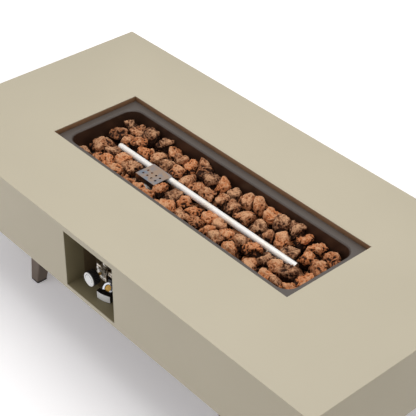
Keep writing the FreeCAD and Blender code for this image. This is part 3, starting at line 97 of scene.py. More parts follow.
class FirePitFinishes(bpy.types.PropertyGroup):
    """Colours of the coats, the rock and the controls."""
    casing: paint("Casing", "Powder coat on the casing", "cac0a8")
    # Painted shade: the legs are coloured darker than the casing, for the shadow under the table
    # top
    leg_with_shade: paint("Legs", "Darker powder coat on the legs", "7c6c5f")
    # Painted shade: the inside of the niche is coloured darker than the casing, for the shade in
    # the recess
    lining: paint("Niche lining", "Paint inside the niche, where the coat is thin", "8e8365")
    # Painted firelight: this brown stands in for the fire's glow on the fold round the burner
    opening_firelight: paint("Opening edge", "Heat-browned coat on the fold round the burner", "9a7250")
    # Painted shade: the pan's dark colour stands in for the shade deep in the niche
    pan: paint("Niche pan", "Dark paint on the pan behind the niche", "66563f")
    tube_frame: paint("Frame", "Primer on the welded frame", "4a4a48")
    tray: paint("Tray flange", "Heatproof paint on the flange of the tray", "58504a")
    # Recess colour: heat browning, darkened further as painted shade on the tray's walls
    tray_recess_and_shade: paint("Tray recess", "Heat-browned paint inside the tray", "3a261a")
    rock_red: paint("Rock, red", "Fired red face of the lava rock", "cd7d4b")
    rock_brown: paint("Rock, brown", "Main brown of the lava rock", "976444")
    # Ash on the high spots, which also serves as a painted highlight on the tops of the stones
    rock_ash_and_highlight: paint("Rock, ash", "Weathered high spots of the lava rock", "e9b489")
    rock_dark: paint("Rock, dark", "Pits and shaded faces of the lava rock", "301c12")
    knob_black: paint("Knob", "Moulded knob and igniter case", "17161a")
    face_white: paint("Knob face", "Pale printed face and blank label", "faf9f6")
    face_ink: paint("Ink", "Printed mark on the knob face", "77777a")
    button_gold: paint("Button", "Anodised igniter button", "b08a48")


class FirePitSizes(bpy.types.PropertyGroup):
    """Rounded edges, screw heads and the relief of the rocks."""
    sheet_round: length("Sheet edge", "Radius along the folded and cut sheet edges", 1.2)
    knob_round: length("Knob edge", "Rounding at the ends of the knob's grip", 1.6)
    case_round: length("Case edge", "Rounding on the igniter case", 0.9)
    cast_round: length("Casting edge", "Rounding on the edges of the valve's plate", 1.4)
    nut_round: length("Nut edge", "Rounding on the edges of the valve's nuts", 1.0)
    screw_head: length("Screw head", "Radius of the heads on the valve's plate", 5.4)
    rock_lump: length("Rock lumps", "Depth of the broad swellings of a rock", 7.0)
    rock_ridge: length("Rock ridges", "Height of the ridges on a rock", 3.0)
    rock_crumb: length("Rock crumbs", "Height of the small crumbs on a rock", 1.5)
    rock_pit: length("Rock pits", "Depth of the open pores of a rock", 3.2)
    rock_pore: length("Rock pore spacing", "Distance between open pores", 7.0)
    rock_inset: length("Rock inset", "How far the broken faces lie inside the lump", 1.6)
    upper_detail: IntProperty(name="Rock detail", description="Subdivisions of a rock on top",
                              default=5, min=2, max=6)
    lower_detail: IntProperty(name="Hidden rock detail", default=4, min=2, max=6,
                              description="Subdivisions of a rock under the others")


class FirePitStage(bpy.types.PropertyGroup):
    """Camera, lights and floor."""
    azimuth: FloatProperty(name="Azimuth", description="Turn of the camera about the table",
                           unit="ROTATION", default=math.radians(48.45))
    elevation: FloatProperty(name="Elevation", description="Height angle of the camera",
                             unit="ROTATION", default=math.radians(36.62))
    roll: FloatProperty(name="Roll", description="Turn of the camera about its line of sight",
                        unit="ROTATION", default=math.radians(0.59))
    place: FloatVectorProperty(name="Camera", description="Place of the camera", subtype="XYZ",
                               unit="LENGTH", default=(2.0078, -1.7594, 2.3567))
    lens: FloatProperty(name="Lens", description="Focal length on a 36 mm sensor",
                        unit="CAMERA", default=104.5)
    floor: paint("Floor", "Pale floor", "f2f1f1")
    side_tint: paint("Side light tint", "Colour of the soft box at one side", "eef1ff")
    key_power: FloatProperty(name="Key light", description="Power of the overhead soft box",
                             unit="POWER", default=48.0, min=0)
    side_power: FloatProperty(name="Side light", description="Power of the soft box at one side",
                              unit="POWER", default=11.0, min=0)
    sky: FloatProperty(name="Sky", description="Strength of the even studio light",
                       default=0.44, min=0)
    floor_seen: FloatProperty(name="Floor brightness", default=1.3, min=1,
                              description="How much paler the floor looks than it lights")
    floor_glow: FloatProperty(name="Shadow lift", default=0.21, min=0, max=1,
                              description="How far the camera sees the floor's shadow lifted")
    glow_near: length("Fade start", "Distance at which the floor starts to fade to white", 1200)
    glow_far: length("Fade end", "Distance at which the floor is white", 4000)


def finishes():
    """The colours, as the panel sets them."""
    return bpy.context.scene.fire_pit_finishes


def sizes():
    """The sizes of edges, screws and rocks, as the panel sets them."""
    return bpy.context.scene.fire_pit_sizes


def stage_setup():
    """The camera, lights and floor, as the panel sets them."""
    return bpy.context.scene.fire_pit_stage


# Materials. A Mix node of colours has its share as input 0 and its colours as inputs 6 and 7.

def add(tree, kind, inputs=(), **settings):
    """Node of one kind, with its settings, and its inputs given as values or linked sockets."""
    node = tree.nodes.new("ShaderNode" + kind)
    for key, value in settings.items():
        setattr(node, key, value)
    for key, value in dict(inputs).items():
        if isinstance(value, bpy.types.Node):
            value = next(out for out in value.outputs if out.enabled)
        if isinstance(value, bpy.types.NodeSocket):
            tree.links.new(value, node.inputs[key])
        elif value is not None:
            socket = node.inputs[key]
            size = len(socket.default_value) if hasattr(socket.default_value, "__len__") else 0
            socket.default_value = (*value, 1.0) if size == 4 and len(value) == 3 else value
    return node


def start_material(name):
    """Empty material, and its place in the object's own metres."""
    material = bpy.data.materials.new(name)
    material.use_nodes = True
    tree = material.node_tree
    tree.nodes.clear()
    return material, tree, add(tree, "TexCoord").outputs["Object"]


def finish_material(material, tree, **shader):
    """Principled surface from sockets and values, where an underscore stands for a space."""
    values = {key.replace("_", " "): value for key, value in shader.items()}
    surface = add(tree, "BsdfPrincipled", values)
    add(tree, "OutputMaterial", {"Surface": surface})
    return material


def scale(millimetres):
    """Texture scale at which one cell measures that much in real millimetres."""
    return 1 / (millimetres * MM)


def shade(colour, factor):
    """The colour, darker or paler by a factor."""
    return tuple(min(1.0, channel * factor) for channel in colour)


def powder_coat(name, colour):
    """Polyester powder coat on sheet steel: matt, even, with a fine orange peel."""
    material, tree, place = start_material(name)
    broad = add(tree, "TexNoise", {"Vector": place, "Scale": scale(260), "Detail": 3.0})
    tint = add(tree, "Mix", {0: broad, 6: shade(colour, 0.965), 7: shade(colour, 1.03)},
               data_type="RGBA")
    # Painted firelight and painted shade on the fold round the burner
    tint = painted_firelight_on_fold(tree, place, tint.outputs[2])
    # The real peel is about half a millimetre across; it is drawn at 1.8 mm so that it shows
    peel = add(tree, "TexNoise", {"Vector": place, "Scale": scale(1.8), "Detail": 2.0})
    bump = add(tree, "Bump", {"Height": peel, "Strength": 0.25, "Distance": 0.06 * MM})
    rough = add(tree, "MapRange", {"Value": peel, "To Min": 0.46, "To Max": 0.62})
    return finish_material(material, tree, Base_Color=tint, Roughness=rough,
                           Normal=bump, IOR=1.5)


def painted_firelight_on_fold(tree, place, colour):
    """Paint the fire's glow on the fold round the burner as a brown tint, with painted shade that
    makes it darkest at its lower edge.
    """
    fold_room = 4 * MM
    brown_from = 1 * MM
    brown_full = 4 * MM
    low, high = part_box("top_panel")
    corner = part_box("burner_tray")[1]
    parts = add(tree, "SeparateXYZ", {"Vector": place})
    inside = None
    for axis, reach in (("X", corner.x), ("Y", corner.y)):
        size = add(tree, "Math", {0: parts.outputs[axis]}, operation="ABSOLUTE")
        within = add(tree, "Math", {0: size, 1: reach + fold_room}, operation="LESS_THAN")
        inside = within if inside is None else add(tree, "Math", {0: inside, 1: within},
                                                   operation="MULTIPLY")
    below = add(tree, "MapRange", {"Value": parts.outputs["Z"],
                                   "From Min": high.z - brown_from,
                                   "From Max": high.z - brown_full})
    upper = add(tree, "Math", {0: parts.outputs["Z"], 1: low.z - 1 * MM},
                operation="GREATER_THAN")
    share = add(tree, "Math", {0: inside, 1: below}, operation="MULTIPLY")
    share = add(tree, "Math", {0: share, 1: upper}, operation="MULTIPLY")
    # Painted shade: the brown darkens, patchily, towards the fold's lower edge
    stain = add(tree, "TexNoise", {"Vector": place, "Scale": scale(35), "Detail": 5.0})
    drop = add(tree, "MapRange", {"Value": parts.outputs["Z"], "From Min": high.z - 5 * MM,
                                  "From Max": low.z, "To Max": 0.75})
    shade_towards_bottom = add(tree, "Math", {0: stain, 1: drop}, operation="MULTIPLY")
    shade_towards_bottom = add(tree, "Math", {0: shade_towards_bottom, 1: 1.6}, operation="MULTIPLY", use_clamp=True)
    # Painted firelight: the fire's brown glow is mixed into the coat on the fold
    brown = finishes().opening_firelight
    browned = add(tree, "Mix", {0: shade_towards_bottom, 6: brown, 7: shade(brown, 0.25)}, data_type="RGBA")
    return add(tree, "Mix", {0: share, 6: colour, 7: browned.outputs[2]},
               data_type="RGBA").outputs[2]


def painted_niche_shade():
    """Powder coat inside the niche: olive grey, darker than the casing as painted shade in the
    recess, with soft smears of dust.
    """
    colour = finishes().lining
    material, tree, place = start_material("powder_coat_with_painted_niche_shade")
    dust = add(tree, "TexNoise", {"Vector": place, "Scale": scale(60), "Detail": 5.0})
    tint = add(tree, "Mix", {0: dust, 6: shade(colour, 0.85), 7: shade(colour, 1.12)},
               data_type="RGBA")
    peel = add(tree, "TexNoise", {"Vector": place, "Scale": scale(1.8), "Detail": 2.0})
    bump = add(tree, "Bump", {"Height": peel, "Strength": 0.25, "Distance": 0.06 * MM})
    rough = add(tree, "MapRange", {"Value": dust, "To Min": 0.42, "To Max": 0.58})
    return finish_material(material, tree, Base_Color=tint.outputs[2], Roughness=rough,
                           Normal=bump, IOR=1.5)


def painted_pan_shade():
    """Sprayed enamel on a folded pan, its dark colour painted shade at the back of the niche:
    satin, with dust in the texture.
    """
    colour = finishes().pan
    material, tree, place = start_material("pan_enamel_with_painted_shade")
    dust = add(tree, "TexNoise", {"Vector": place, "Scale": scale(14), "Detail": 6.0})
    tint = add(tree, "Mix", {0: dust, 6: shade(colour, 0.8), 7: shade(colour, 1.5)},
               data_type="RGBA")
    grain = add(tree, "TexNoise", {"Vector": place, "Scale": scale(1.2), "Detail": 2.0})
    bump = add(tree, "Bump", {"Height": grain, "Strength": 0.2, "Distance": 0.06 * MM})
    rough = add(tree, "MapRange", {"Value": dust, "To Min": 0.42, "To Max": 0.6})
    return finish_material(material, tree, Base_Color=tint.outputs[2], Roughness=rough,
                           Normal=bump, IOR=1.5)


def frame_primer():
    """Dipped primer on welded steel tube: dull grey with darker weld heat marks."""
    colour = finishes().tube_frame
    material, tree, place = start_material("dipped_steel_primer")
    marks = add(tree, "TexNoise", {"Vector": place, "Scale": scale(40), "Detail": 5.0})
    tint = add(tree, "Mix", {0: marks, 6: shade(colour, 0.6), 7: shade(colour, 1.35)},
               data_type="RGBA")
    drawn = add(tree, "Mapping", {"Vector": place, "Scale": (0.15, 0.15, 1.0)})
    lines = add(tree, "TexNoise", {"Vector": drawn, "Scale": scale(1.5), "Detail": 2.0})
    bump = add(tree, "Bump", {"Height": lines, "Strength": 0.3, "Distance": 0.08 * MM})
    return finish_material(material, tree, Base_Color=tint.outputs[2], Roughness=0.55,
                           Normal=bump, IOR=1.5)


def tray_enamel():
    """Heatproof paint on the pressed tray: grey-brown flange, and a recess that is darker and
    browner from heat browning and soot, with painted shade on its walls.
    """
    material, tree, place = start_material("heatproof_tray_paint")
    flange_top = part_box("burner_tray")[1].z
    height = add(tree, "SeparateXYZ", {"Vector": place}).outputs["Z"]
    # Below the flange the recess takes a darker colour: partly real heat browning, partly painted
    # shade on its walls
    rim = add(tree, "MapRange", {"Value": height, "From Min": flange_top - 5 * MM,
                                 "From Max": flange_top - 0.5 * MM})
    stain = add(tree, "TexNoise", {"Vector": place, "Scale": scale(55), "Detail": 6.0,
                                   "Roughness": 0.65})
    deep = add(tree, "Mix", {0: stain, 6: shade(finishes().tray_recess_and_shade, 0.45),
                             7: shade(finishes().tray_recess_and_shade, 1.5)}, data_type="RGBA")
    flange = add(tree, "Mix", {0: stain, 6: shade(finishes().tray, 0.88),
                               7: shade(finishes().tray, 1.12)}, data_type="RGBA")
    tint = add(tree, "Mix", {0: rim, 6: deep.outputs[2], 7: flange.outputs[2]},
               data_type="RGBA")
    grit = add(tree, "TexNoise", {"Vector": place, "Scale": scale(1.5), "Detail": 3.0})
    bump = add(tree, "Bump", {"Height": grit, "Strength": 0.35, "Distance": 0.1 * MM})
    rough = add(tree, "MapRange", {"Value": stain, "To Min": 0.34, "To Max": 0.5})
    return finish_material(material, tree, Base_Color=tint.outputs[2], Roughness=rough,
                           Normal=bump, IOR=1.5)


def lava_rock():
    """Porous basalt: fired red and brown faces, ash on the high spots with a painted highlight on
    the tops, and painted shade in the pores and hollows.
    """
    look = finishes()
    material, tree, place = start_material("porous_lava_rock")
    tone = add(tree, "Attribute", attribute_name="tone").outputs["Fac"]
    relief = add(tree, "Attribute", attribute_name="relief").outputs["Fac"]
    patch = add(tree, "TexNoise", {"Vector": place, "Scale": scale(16), "Detail": 5.0,
                                   "Roughness": 0.7})
    mixed = add(tree, "Math", {0: patch, 1: tone}, operation="ADD")
    share = add(tree, "MapRange", {"Value": mixed, "From Min": 0.62, "From Max": 1.28})
    body = add(tree, "Mix", {0: share, 6: look.rock_brown, 7: look.rock_red}, data_type="RGBA")
    grey = add(tree, "MapRange", {"Value": mixed, "From Min": 0.72, "From Max": 0.38})
    aged = add(tree, "Mix", {0: grey, 6: body.outputs[2], 7: shade(look.rock_dark, 2.6)},
               data_type="RGBA")
    crumb = add(tree, "TexNoise", {"Vector": place, "Scale": scale(3), "Detail": 4.0,
                                   "Roughness": 0.75})
    # Real ash and a painted highlight: the ash colour goes on the high spots and on the upward
    # tops of the stones
    high = add(tree, "Math", {0: relief, 1: crumb}, operation="MULTIPLY")
    ash_and_highlight = add(tree, "MapRange", {"Value": high, "From Min": 0.24, "From Max": 0.50,
                                  "To Max": 0.85})
    lit = add(tree, "Mix", {0: ash_and_highlight, 6: aged.outputs[2], 7: look.rock_ash_and_highlight}, data_type="RGBA")
    # Painted shade: the pores and the deep parts of the relief are darkened towards the dark rock
    # colour, as shade falls in holes and hollows
    pore = add(tree, "TexVoronoi", {"Vector": place, "Scale": scale(2.6)})
    open_pore = add(tree, "MapRange", {"Value": pore.outputs["Distance"], "From Min": 0.08,
                                       "From Max": 0.36, "To Min": 0.2})
    hollow_shade = add(tree, "MapRange", {"Value": relief, "From Min": 0.16, "From Max": 0.46})
    light = add(tree, "Math", {0: open_pore, 1: hollow_shade}, operation="MULTIPLY")
    tint = add(tree, "Mix", {0: light, 6: look.rock_dark, 7: lit.outputs[2]},
               data_type="RGBA")
    crust = add(tree, "Math", {0: crumb, 1: open_pore}, operation="MULTIPLY")
    bump = add(tree, "Bump", {"Height": crust, "Strength": 0.8, "Distance": 0.9 * MM})
    return finish_material(material, tree, Base_Color=tint.outputs[2], Roughness=0.9,
                           Normal=bump, IOR=1.5, Specular_IOR_Level=0.2)


def stainless(name, pale, straw, low, high, bare=1.0):
    """Stainless tube and sheet, drawn lengthwise: bright, with faint straw heat tint.

    The bare share is the least of clean metal that shows between pale unmetallic patches, which on
    the burner tube are painted firelight.
    """
    material, tree, place = start_material(name)
    # Real drawing lines lie 0.1 mm apart; these are drawn at 0.9 mm so that they show
    drawn = add(tree, "Mapping", {"Vector": place, "Scale": (0.04, 1.0, 1.0)})
    lines = add(tree, "TexNoise", {"Vector": drawn, "Scale": scale(0.9), "Detail": 3.0})
    heat = add(tree, "TexNoise", {"Vector": place, "Scale": scale(45), "Detail": 3.0})
    spread = add(tree, "MapRange", {"Value": heat, "From Min": 0.45, "From Max": 0.75})
    tint = add(tree, "Mix", {0: spread, 6: srgb(pale), 7: srgb(straw)}, data_type="RGBA")
    rough = add(tree, "MapRange", {"Value": lines, "To Min": low, "To Max": high})
    bump = add(tree, "Bump", {"Height": lines, "Strength": 0.15, "Distance": 0.03 * MM})
    clean = 1.0
    if bare < 1:
        clean = add(tree, "MapRange", {"Value": heat, "From Min": 0.35, "From Max": 0.65,
                                       "To Min": bare, "To Max": min(1.0, bare + 0.3)})
    return finish_material(material, tree, Base_Color=tint.outputs[2], Roughness=rough,
                           Normal=bump, Metallic=clean)


def valve_plate():
    """Y of the front of the valve's plate, which the collar round the stem stands on."""
    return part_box("valve_nuts")[0].y + COLLAR_HEIGHT


def plated_casting():
    """Plated die casting: tarnished brown and grey, its raised screw heads bright."""
    material, tree, place = start_material("plated_zinc_casting")
    front = add(tree, "SeparateXYZ", {"Vector": place}).outputs["Y"]
    head = add(tree, "MapRange", {"Value": front, "From Min": valve_plate() - 0.3 * MM,
                                  "From Max": valve_plate() - 0.6 * MM})
    patch = add(tree, "TexNoise", {"Vector": place, "Scale": scale(9), "Detail": 4.0,
                                   "Roughness": 0.6})
    worn = add(tree, "MapRange", {"Value": patch, "From Min": 0.42, "From Max": 0.60})
    dull = add(tree, "Mix", {0: worn, 6: srgb("8a7b66"), 7: srgb("ebe5da")},
               data_type="RGBA")
    tint = add(tree, "Mix", {0: head, 6: dull.outputs[2], 7: srgb("eeeae4")},
               data_type="RGBA")
    fine = add(tree, "TexNoise", {"Vector": place, "Scale": scale(1.0), "Detail": 3.0})
    rough = add(tree, "MapRange", {"Value": patch, "To Min": 0.18, "To Max": 0.4})
    bump = add(tree, "Bump", {"Height": fine, "Strength": 0.25, "Distance": 0.06 * MM})
    return finish_material(material, tree, Base_Color=tint.outputs[2], Roughness=rough,
                           Normal=bump, Metallic=1.0)


def heat_tinted_steel():
    """Stainless plate over the pilot: grey, with bluish and straw bands from the heat."""
    material, tree, place = start_material("heat_tinted_stainless_steel")
    bands = add(tree, "TexNoise", {"Vector": place, "Scale": scale(38), "Detail": 2.0,
                                   "Distortion": 0.6})
    blue = add(tree, "MapRange", {"Value": bands, "From Min": 0.40, "From Max": 0.60})
    tint = add(tree, "Mix", {0: blue, 6: srgb("8d949f"), 7: srgb("b39a86")},
               data_type="RGBA")
    fine = add(tree, "TexNoise", {"Vector": place, "Scale": scale(1.2), "Detail": 3.0})
    rough = add(tree, "MapRange", {"Value": fine, "To Min": 0.24, "To Max": 0.4})
    bump = add(tree, "Bump", {"Height": fine, "Strength": 0.2, "Distance": 0.04 * MM})
    return finish_material(material, tree, Base_Color=tint.outputs[2], Roughness=rough,
                           Normal=bump, Metallic=1.0)


def metal(name, colour, low, high, grain, stain=0.85):
    """Bare metal, slightly stained, with a wear grain drawn coarser than real to show."""
    material, tree, place = start_material(name)
    worn = add(tree, "TexNoise", {"Vector": place, "Scale": scale(grain * 8), "Detail": 5.0})
    tint = add(tree, "Mix", {0: worn, 6: shade(colour, stain), 7: colour}, data_type="RGBA")
    fine = add(tree, "TexNoise", {"Vector": place, "Scale": scale(grain), "Detail": 3.0})
    rough = add(tree, "MapRange", {"Value": worn, "To Min": low, "To Max": high})
    bump = add(tree, "Bump", {"Height": fine, "Strength": 0.2, "Distance": 0.05 * MM})
    return finish_material(material, tree, Base_Color=tint.outputs[2], Roughness=rough,
                           Normal=bump, Metallic=1.0)


def plastic(name, colour, low, high, grain, coat=0.0):
    """Moulded plastic with a spark-eroded grain, drawn coarser than real so that it shows."""
    material, tree, place = start_material(name)
    soft = add(tree, "TexNoise", {"Vector": place, "Scale": scale(grain * 10), "Detail": 3.0})
    tint = add(tree, "Mix", {0: soft, 6: shade(colour, 0.88), 7: shade(colour, 1.1)},
               data_type="RGBA")
    fine = add(tree, "TexNoise", {"Vector": place, "Scale": scale(grain), "Detail": 2.0})
    rough = add(tree, "MapRange", {"Value": soft, "To Min": low, "To Max": high})
    bump = add(tree, "Bump", {"Height": fine, "Strength": 0.25, "Distance": 0.05 * MM})
    return finish_material(material, tree, Base_Color=tint.outputs[2], Roughness=rough,
                           Normal=bump, IOR=1.5, Coat_Weight=coat, Coat_Roughness=0.08)


def printed_face():
    """Moulded ABS knob face with a printed arc and an index dot."""
    ring_radius = 14.0 * MM
    half_line = 0.7 * MM
    ring_start = -2.0 * MM
    dot_radius = 1.5 * MM
    dot_place = (9.0 * MM, 0, -12.5 * MM)
    low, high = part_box("knob_face")
    material, tree, place = start_material("printed_abs_face")
    shifted = add(tree, "VectorMath", {0: place, 1: (low + high) / 2}, operation="SUBTRACT")
    flat = add(tree, "VectorMath", {0: shifted, 1: (1, 0, 1)}, operation="MULTIPLY")
    up = add(tree, "SeparateXYZ", {"Vector": flat}).outputs["Z"]
    radius = add(tree, "VectorMath", {0: flat}, operation="LENGTH").outputs["Value"]
    off_ring = add(tree, "Math", {0: radius, 1: ring_radius}, operation="SUBTRACT")
    off_ring = add(tree, "Math", {0: off_ring}, operation="ABSOLUTE")
    on_ring = add(tree, "Math", {0: off_ring, 1: half_line}, operation="LESS_THAN")
    upper = add(tree, "Math", {0: up, 1: ring_start}, operation="GREATER_THAN")
    arc = add(tree, "Math", {0: on_ring, 1: upper}, operation="MULTIPLY")
    reach = add(tree, "VectorMath", {0: flat, 1: dot_place}, operation="DISTANCE")
    dot = add(tree, "Math", {0: reach, 1: dot_radius}, operation="LESS_THAN")
    ink = add(tree, "Math", {0: arc, 1: dot}, operation="MAXIMUM")
    tint = add(tree, "Mix", {0: ink, 6: finishes().face_white, 7: finishes().face_ink},
               data_type="RGBA")
    fine = add(tree, "TexNoise", {"Vector": place, "Scale": scale(0.8), "Detail": 2.0})
    rough = add(tree, "MapRange", {"Value": fine, "To Min": 0.3, "To Max": 0.42})
    bump = add(tree, "Bump", {"Height": fine, "Strength": 0.15, "Distance": 0.03 * MM})
    return finish_material(material, tree, Base_Color=tint.outputs[2], Roughness=rough,
                           Normal=bump, IOR=1.5)


MATERIALS = {}
SPECIAL = {}


def make_materials():
    """One finish for each material slot, and for nodes that differ from their slot."""
    look = finishes()
    MATERIALS.update({
        "casing_paint": powder_coat("powder_coated_steel", look.casing),
        "leg_paint": powder_coat("powder_coat_with_painted_leg_shade", look.leg_with_shade),
        "pan_paint": painted_pan_shade(),
        "frame_paint": frame_primer(),
        "tray_enamel": tray_enamel(),
        # Brushed sheet and small parts: clear grey reflections
        "stainless": stainless("brushed_stainless_steel", "f1eee8", "dcc6a2", 0.3, 0.46),
        # Zinc-plated bolts, nuts and screws: bluish and cloudy
        "zinc_steel": metal("zinc_plated_steel", srgb("b9bcc0"), 0.28, 0.45, 1.0, 0.75),
        # Drawn spring wire: darker and smooth
        "spring_steel": metal("drawn_spring_steel", srgb("8e8c88"), 0.25, 0.35, 0.6),
        # Sand-cast aluminium air mixer: grey and grainy
        "cast_mixer": metal("cast_aluminium", srgb("9a9a98"), 0.5, 0.7, 1.5, 0.7),
        # Turned brass: warm, lightly tarnished
        "brass": metal("turned_brass", srgb("c9a35e"), 0.22, 0.4, 0.8, 0.7),
        # Bright chrome plate: mirror-like with a slight haze
        "chrome": metal("chrome_plate", srgb("d9dadc"), 0.06, 0.16, 0.8, 0.9),
        # Drawn soft aluminium tube: pale and satin
        "pipe_aluminium": metal("drawn_aluminium", srgb("c9cacb"), 0.3, 0.42, 0.8),
        # Polished ABS case: deep black with a clear reflection
        "black_plastic": plastic("polished_black_abs", look.knob_black, 0.2, 0.32, 0.8, 0.4),
        # Moulded phenolic knob: black and satin
        "knob_plastic": plastic("moulded_black_phenolic", look.knob_black, 0.34, 0.48, 0.7),
        "white_face": printed_face(),
        # Gold anodised aluminium: warm, satin
        "button_gold": metal("gold_anodised_aluminium", look.button_gold, 0.2, 0.3, 0.8, 0.85),
        # Moulded polyethylene glide: waxy black
        "glide_plastic": plastic("moulded_polyethylene", srgb("26241f"), 0.4, 0.55, 1.0),
        # Glazed alumina: white and glossy
        "electrode_ceramic": plastic("glazed_alumina", srgb("e6e0d3"), 0.12, 0.25, 1.0, 0.5),
        # Silicone sleeve: matt dark red-brown
        "lead_rubber": plastic("silicone_sleeve", srgb("5a2620"), 0.5, 0.65, 0.8),
        # Shrink sleeve on the cell: plain grey, glossy
        "battery_wrap": plastic("shrink_sleeve", srgb("50555c"), 0.2, 0.3, 1.2),
        "lava_rock": lava_rock(),
    })
    SPECIAL.update({
        # The burner tube: almost white and mostly unmetallic, painted light that stands in for the
        # firelight on it, with soft reflections
        "burner_tube": stainless("stainless_with_painted_firelight", "fcfaf6", "f3eadb", 0.42, 0.58, 0.15),
        "valve_body": plated_casting(),
        # Turned nickel plate: soft grey reflections
        "valve_nuts": metal("nickel_plated_brass", srgb("e2ded6"), 0.2, 0.38, 1.0, 0.7),
        "niche_box": painted_niche_shade(),
        "pilot_cover": heat_tinted_steel(),
    })


def slot_of(node):
    """The record's material slot of a CAD node."""
    for part in frame["record"]["subparts"]:
        if part["node"] == node:
            return part["material_slot"]
    raise RuntimeError(node + " has no material slot")


def dress(*names):
    """Give CAD nodes that stay the finish of their material slot."""
    for name in names:
        shape = NODES[name]
        for place in shape.material_slots:
            place.material = SPECIAL.get(name, MATERIALS[slot_of(name)])


def add_piece(name, mesh, body, node):
    """New visible piece that rides on a body and takes the finish of the node it replaces."""
    piece = bpy.data.objects.new(name, mesh)
    bpy.context.collection.objects.link(piece)
    slot = slot_of(node)
    mesh.materials.clear()
    mesh.materials.append(SPECIAL.get(node, MATERIALS[slot]))
    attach(piece, body)
    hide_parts(node)
    return piece


def add_spring(node):
    """A copy of a coil spring's solid, as a piece of its own that rides on the table."""
    spring = add_piece(node + "_coil", NODES[node].data.copy(), "table", node)
    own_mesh(spring)


def node_form(name):
    """Editable copy of a CAD node's shape, with its flat faces whole."""
    form = bmesh.new()
    form.from_mesh(NODES[name].data)
    bmesh.ops.remove_doubles(form, verts=form.verts, dist=SAME_POINT)
    bmesh.ops.dissolve_limit(form, angle_limit=FLAT_ANGLE, verts=form.verts, edges=form.edges)
    return form


def round_edges(form, chosen, width):
    """Round the sharp outward edges that a test picks by their two ends."""
    edges = [edge for edge in form.edges
             if edge.is_manifold and edge.is_convex
             and edge.calc_face_angle(0) > ROUNDED_ANGLE
             and chosen(*(vert.co for vert in edge.verts))]
    bmesh.ops.bevel(form, geom=edges, offset=width, segments=3, profile=0.5,
                    affect="EDGES", clamp_overlap=True)


def domed_head(form, place, radius):
    """Add a pan head that looks towards -Y, with a rounded crown and a shallow socket."""
    # Radius and height of each ring, as shares of the head's radius
    rings = ((1.0, -0.12), (1.0, 0.25), (0.93, 0.42), (0.78, 0.52), (0.42, 0.58), (0.38, 0.5),
             (0.3, 0.22))
    sides = 40
    loops = []
    for across, out in rings:
        turns = [2 * math.pi * k / sides for k in range(sides)]
        loops.append([form.verts.new(place + radius * Vector((
            across * math.cos(turn), -out, across * math.sin(turn)))) for turn in turns])
    faces = [form.faces.new(loops[0]), form.faces.new(loops[-1])]
    for lower, upper in zip(loops, loops[1:]):
        for k in range(sides):
            after = (k + 1) % sides
            faces.append(form.faces.new((lower[k], lower[after], upper[after], upper[k])))
    bmesh.ops.recalc_face_normals(form, faces=faces)


def add_form(name, form, body, node):
    """Turn an edited form into a piece that stands for a CAD node, smooth but for its edges."""
    mesh = bpy.data.meshes.new(name)
    form.normal_update()
    form.to_mesh(mesh)
    form.free()
    mesh.shade_smooth()
    mesh.set_sharp_from_angle(angle=SHARP_ANGLE)
    add_piece(name, mesh, body, node)


def longer_than(millimetres):
    """Test that picks the edges over a length, so that small ones keep their shape."""
    return lambda a, b: (a - b).length > millimetres * MM


def near(value, *targets):
    """Whether a coordinate lies on one of the target planes."""
    return any(abs(value - target) < SAME_POINT * 5 for target in targets)


# Lava rock

def rock_solids(node):
    """The separate convex lumps of a rock node, each as its middle and face planes."""
    form = node_form(node)
    form.faces.index_update()
    seen = set()
    lumps = []
    for start in form.verts:
        if start in seen:
            continue
        stack = [start]
        seen.add(start)
        lump = []
        while stack:
            vert = stack.pop()
            lump.append(vert)
            for edge in vert.link_edges:
                other = edge.other_vert(vert)
                if other not in seen:
                    seen.add(other)
                    stack.append(other)
        sides = {face for vert in lump for face in vert.link_faces}
        planes = [(*face.normal, face.normal.dot(face.verts[0].co))
                  for face in sorted(sides, key=lambda face: face.index)]
        centre = sum((vert.co for vert in lump), Vector()) / len(lump)
        lumps.append((centre, np.array(planes)))
    form.free()
    return lumps


def unit_ball(detail):
    """Points and faces of a ball of radius one."""
    ball = bmesh.new()
    bmesh.ops.create_icosphere(ball, subdivisions=detail, radius=1.0)
    ball.verts.index_update()
    points = np.array([vert.co.normalized()[:] for vert in ball.verts])
    faces = np.array([[vert.index for vert in face.verts] for face in ball.faces])
    ball.free()
    return points, faces


def rock_reach(planes, centre, directions):
    """Distance from the middle to the lump's surface, with its corners rounded."""
    corner_power = 14.0
    least_gap = 0.5 * MM
    gaps = planes[:, 3] - planes[:, :3] @ np.array(centre)
    towards = directions @ planes[:, :3].T
    inverse = np.clip(towards, 0, None) / np.clip(gaps, least_gap, None)
    return (inverse ** corner_power).sum(axis=1) ** (-1 / corner_power)


def rock_relief(point, shift):
    """Height of one surface point over the rounded lump, and its share from deep to high."""
    lump_cell = 24 * MM
    hollow_cell = 15 * MM
    ridge_cell = 11 * MM
    crumb_cell = 5 * MM
    pore_reach = 0.45
    size = sizes()
    at = point + shift
    lump = noise.noise(at / lump_cell)
    ridge = 1 - abs(noise.noise(at / ridge_cell)) * 2
    crumb = noise.fractal(at / crumb_cell, 0.9, 2.2, 3)
    distance, _ = noise.voronoi(at / size.rock_pore)
    pore = max(0.0, 1 - distance[0] / pore_reach)
    hollow = max(0.0, noise.noise(at / hollow_cell + Vector((7, 3, 1))))
    pit = pore ** 0.7 * min(1.0, 0.35 + 2.0 * hollow)
    height = (lump * size.rock_lump + (ridge - 0.8) * size.rock_ridge
              + crumb * size.rock_crumb - pit * size.rock_pit)
    share = 0.58 + 0.30 * crumb + 0.5 * (ridge - 0.7) + 0.45 * lump - 0.6 * pit
    return min(height, size.rock_inset), share


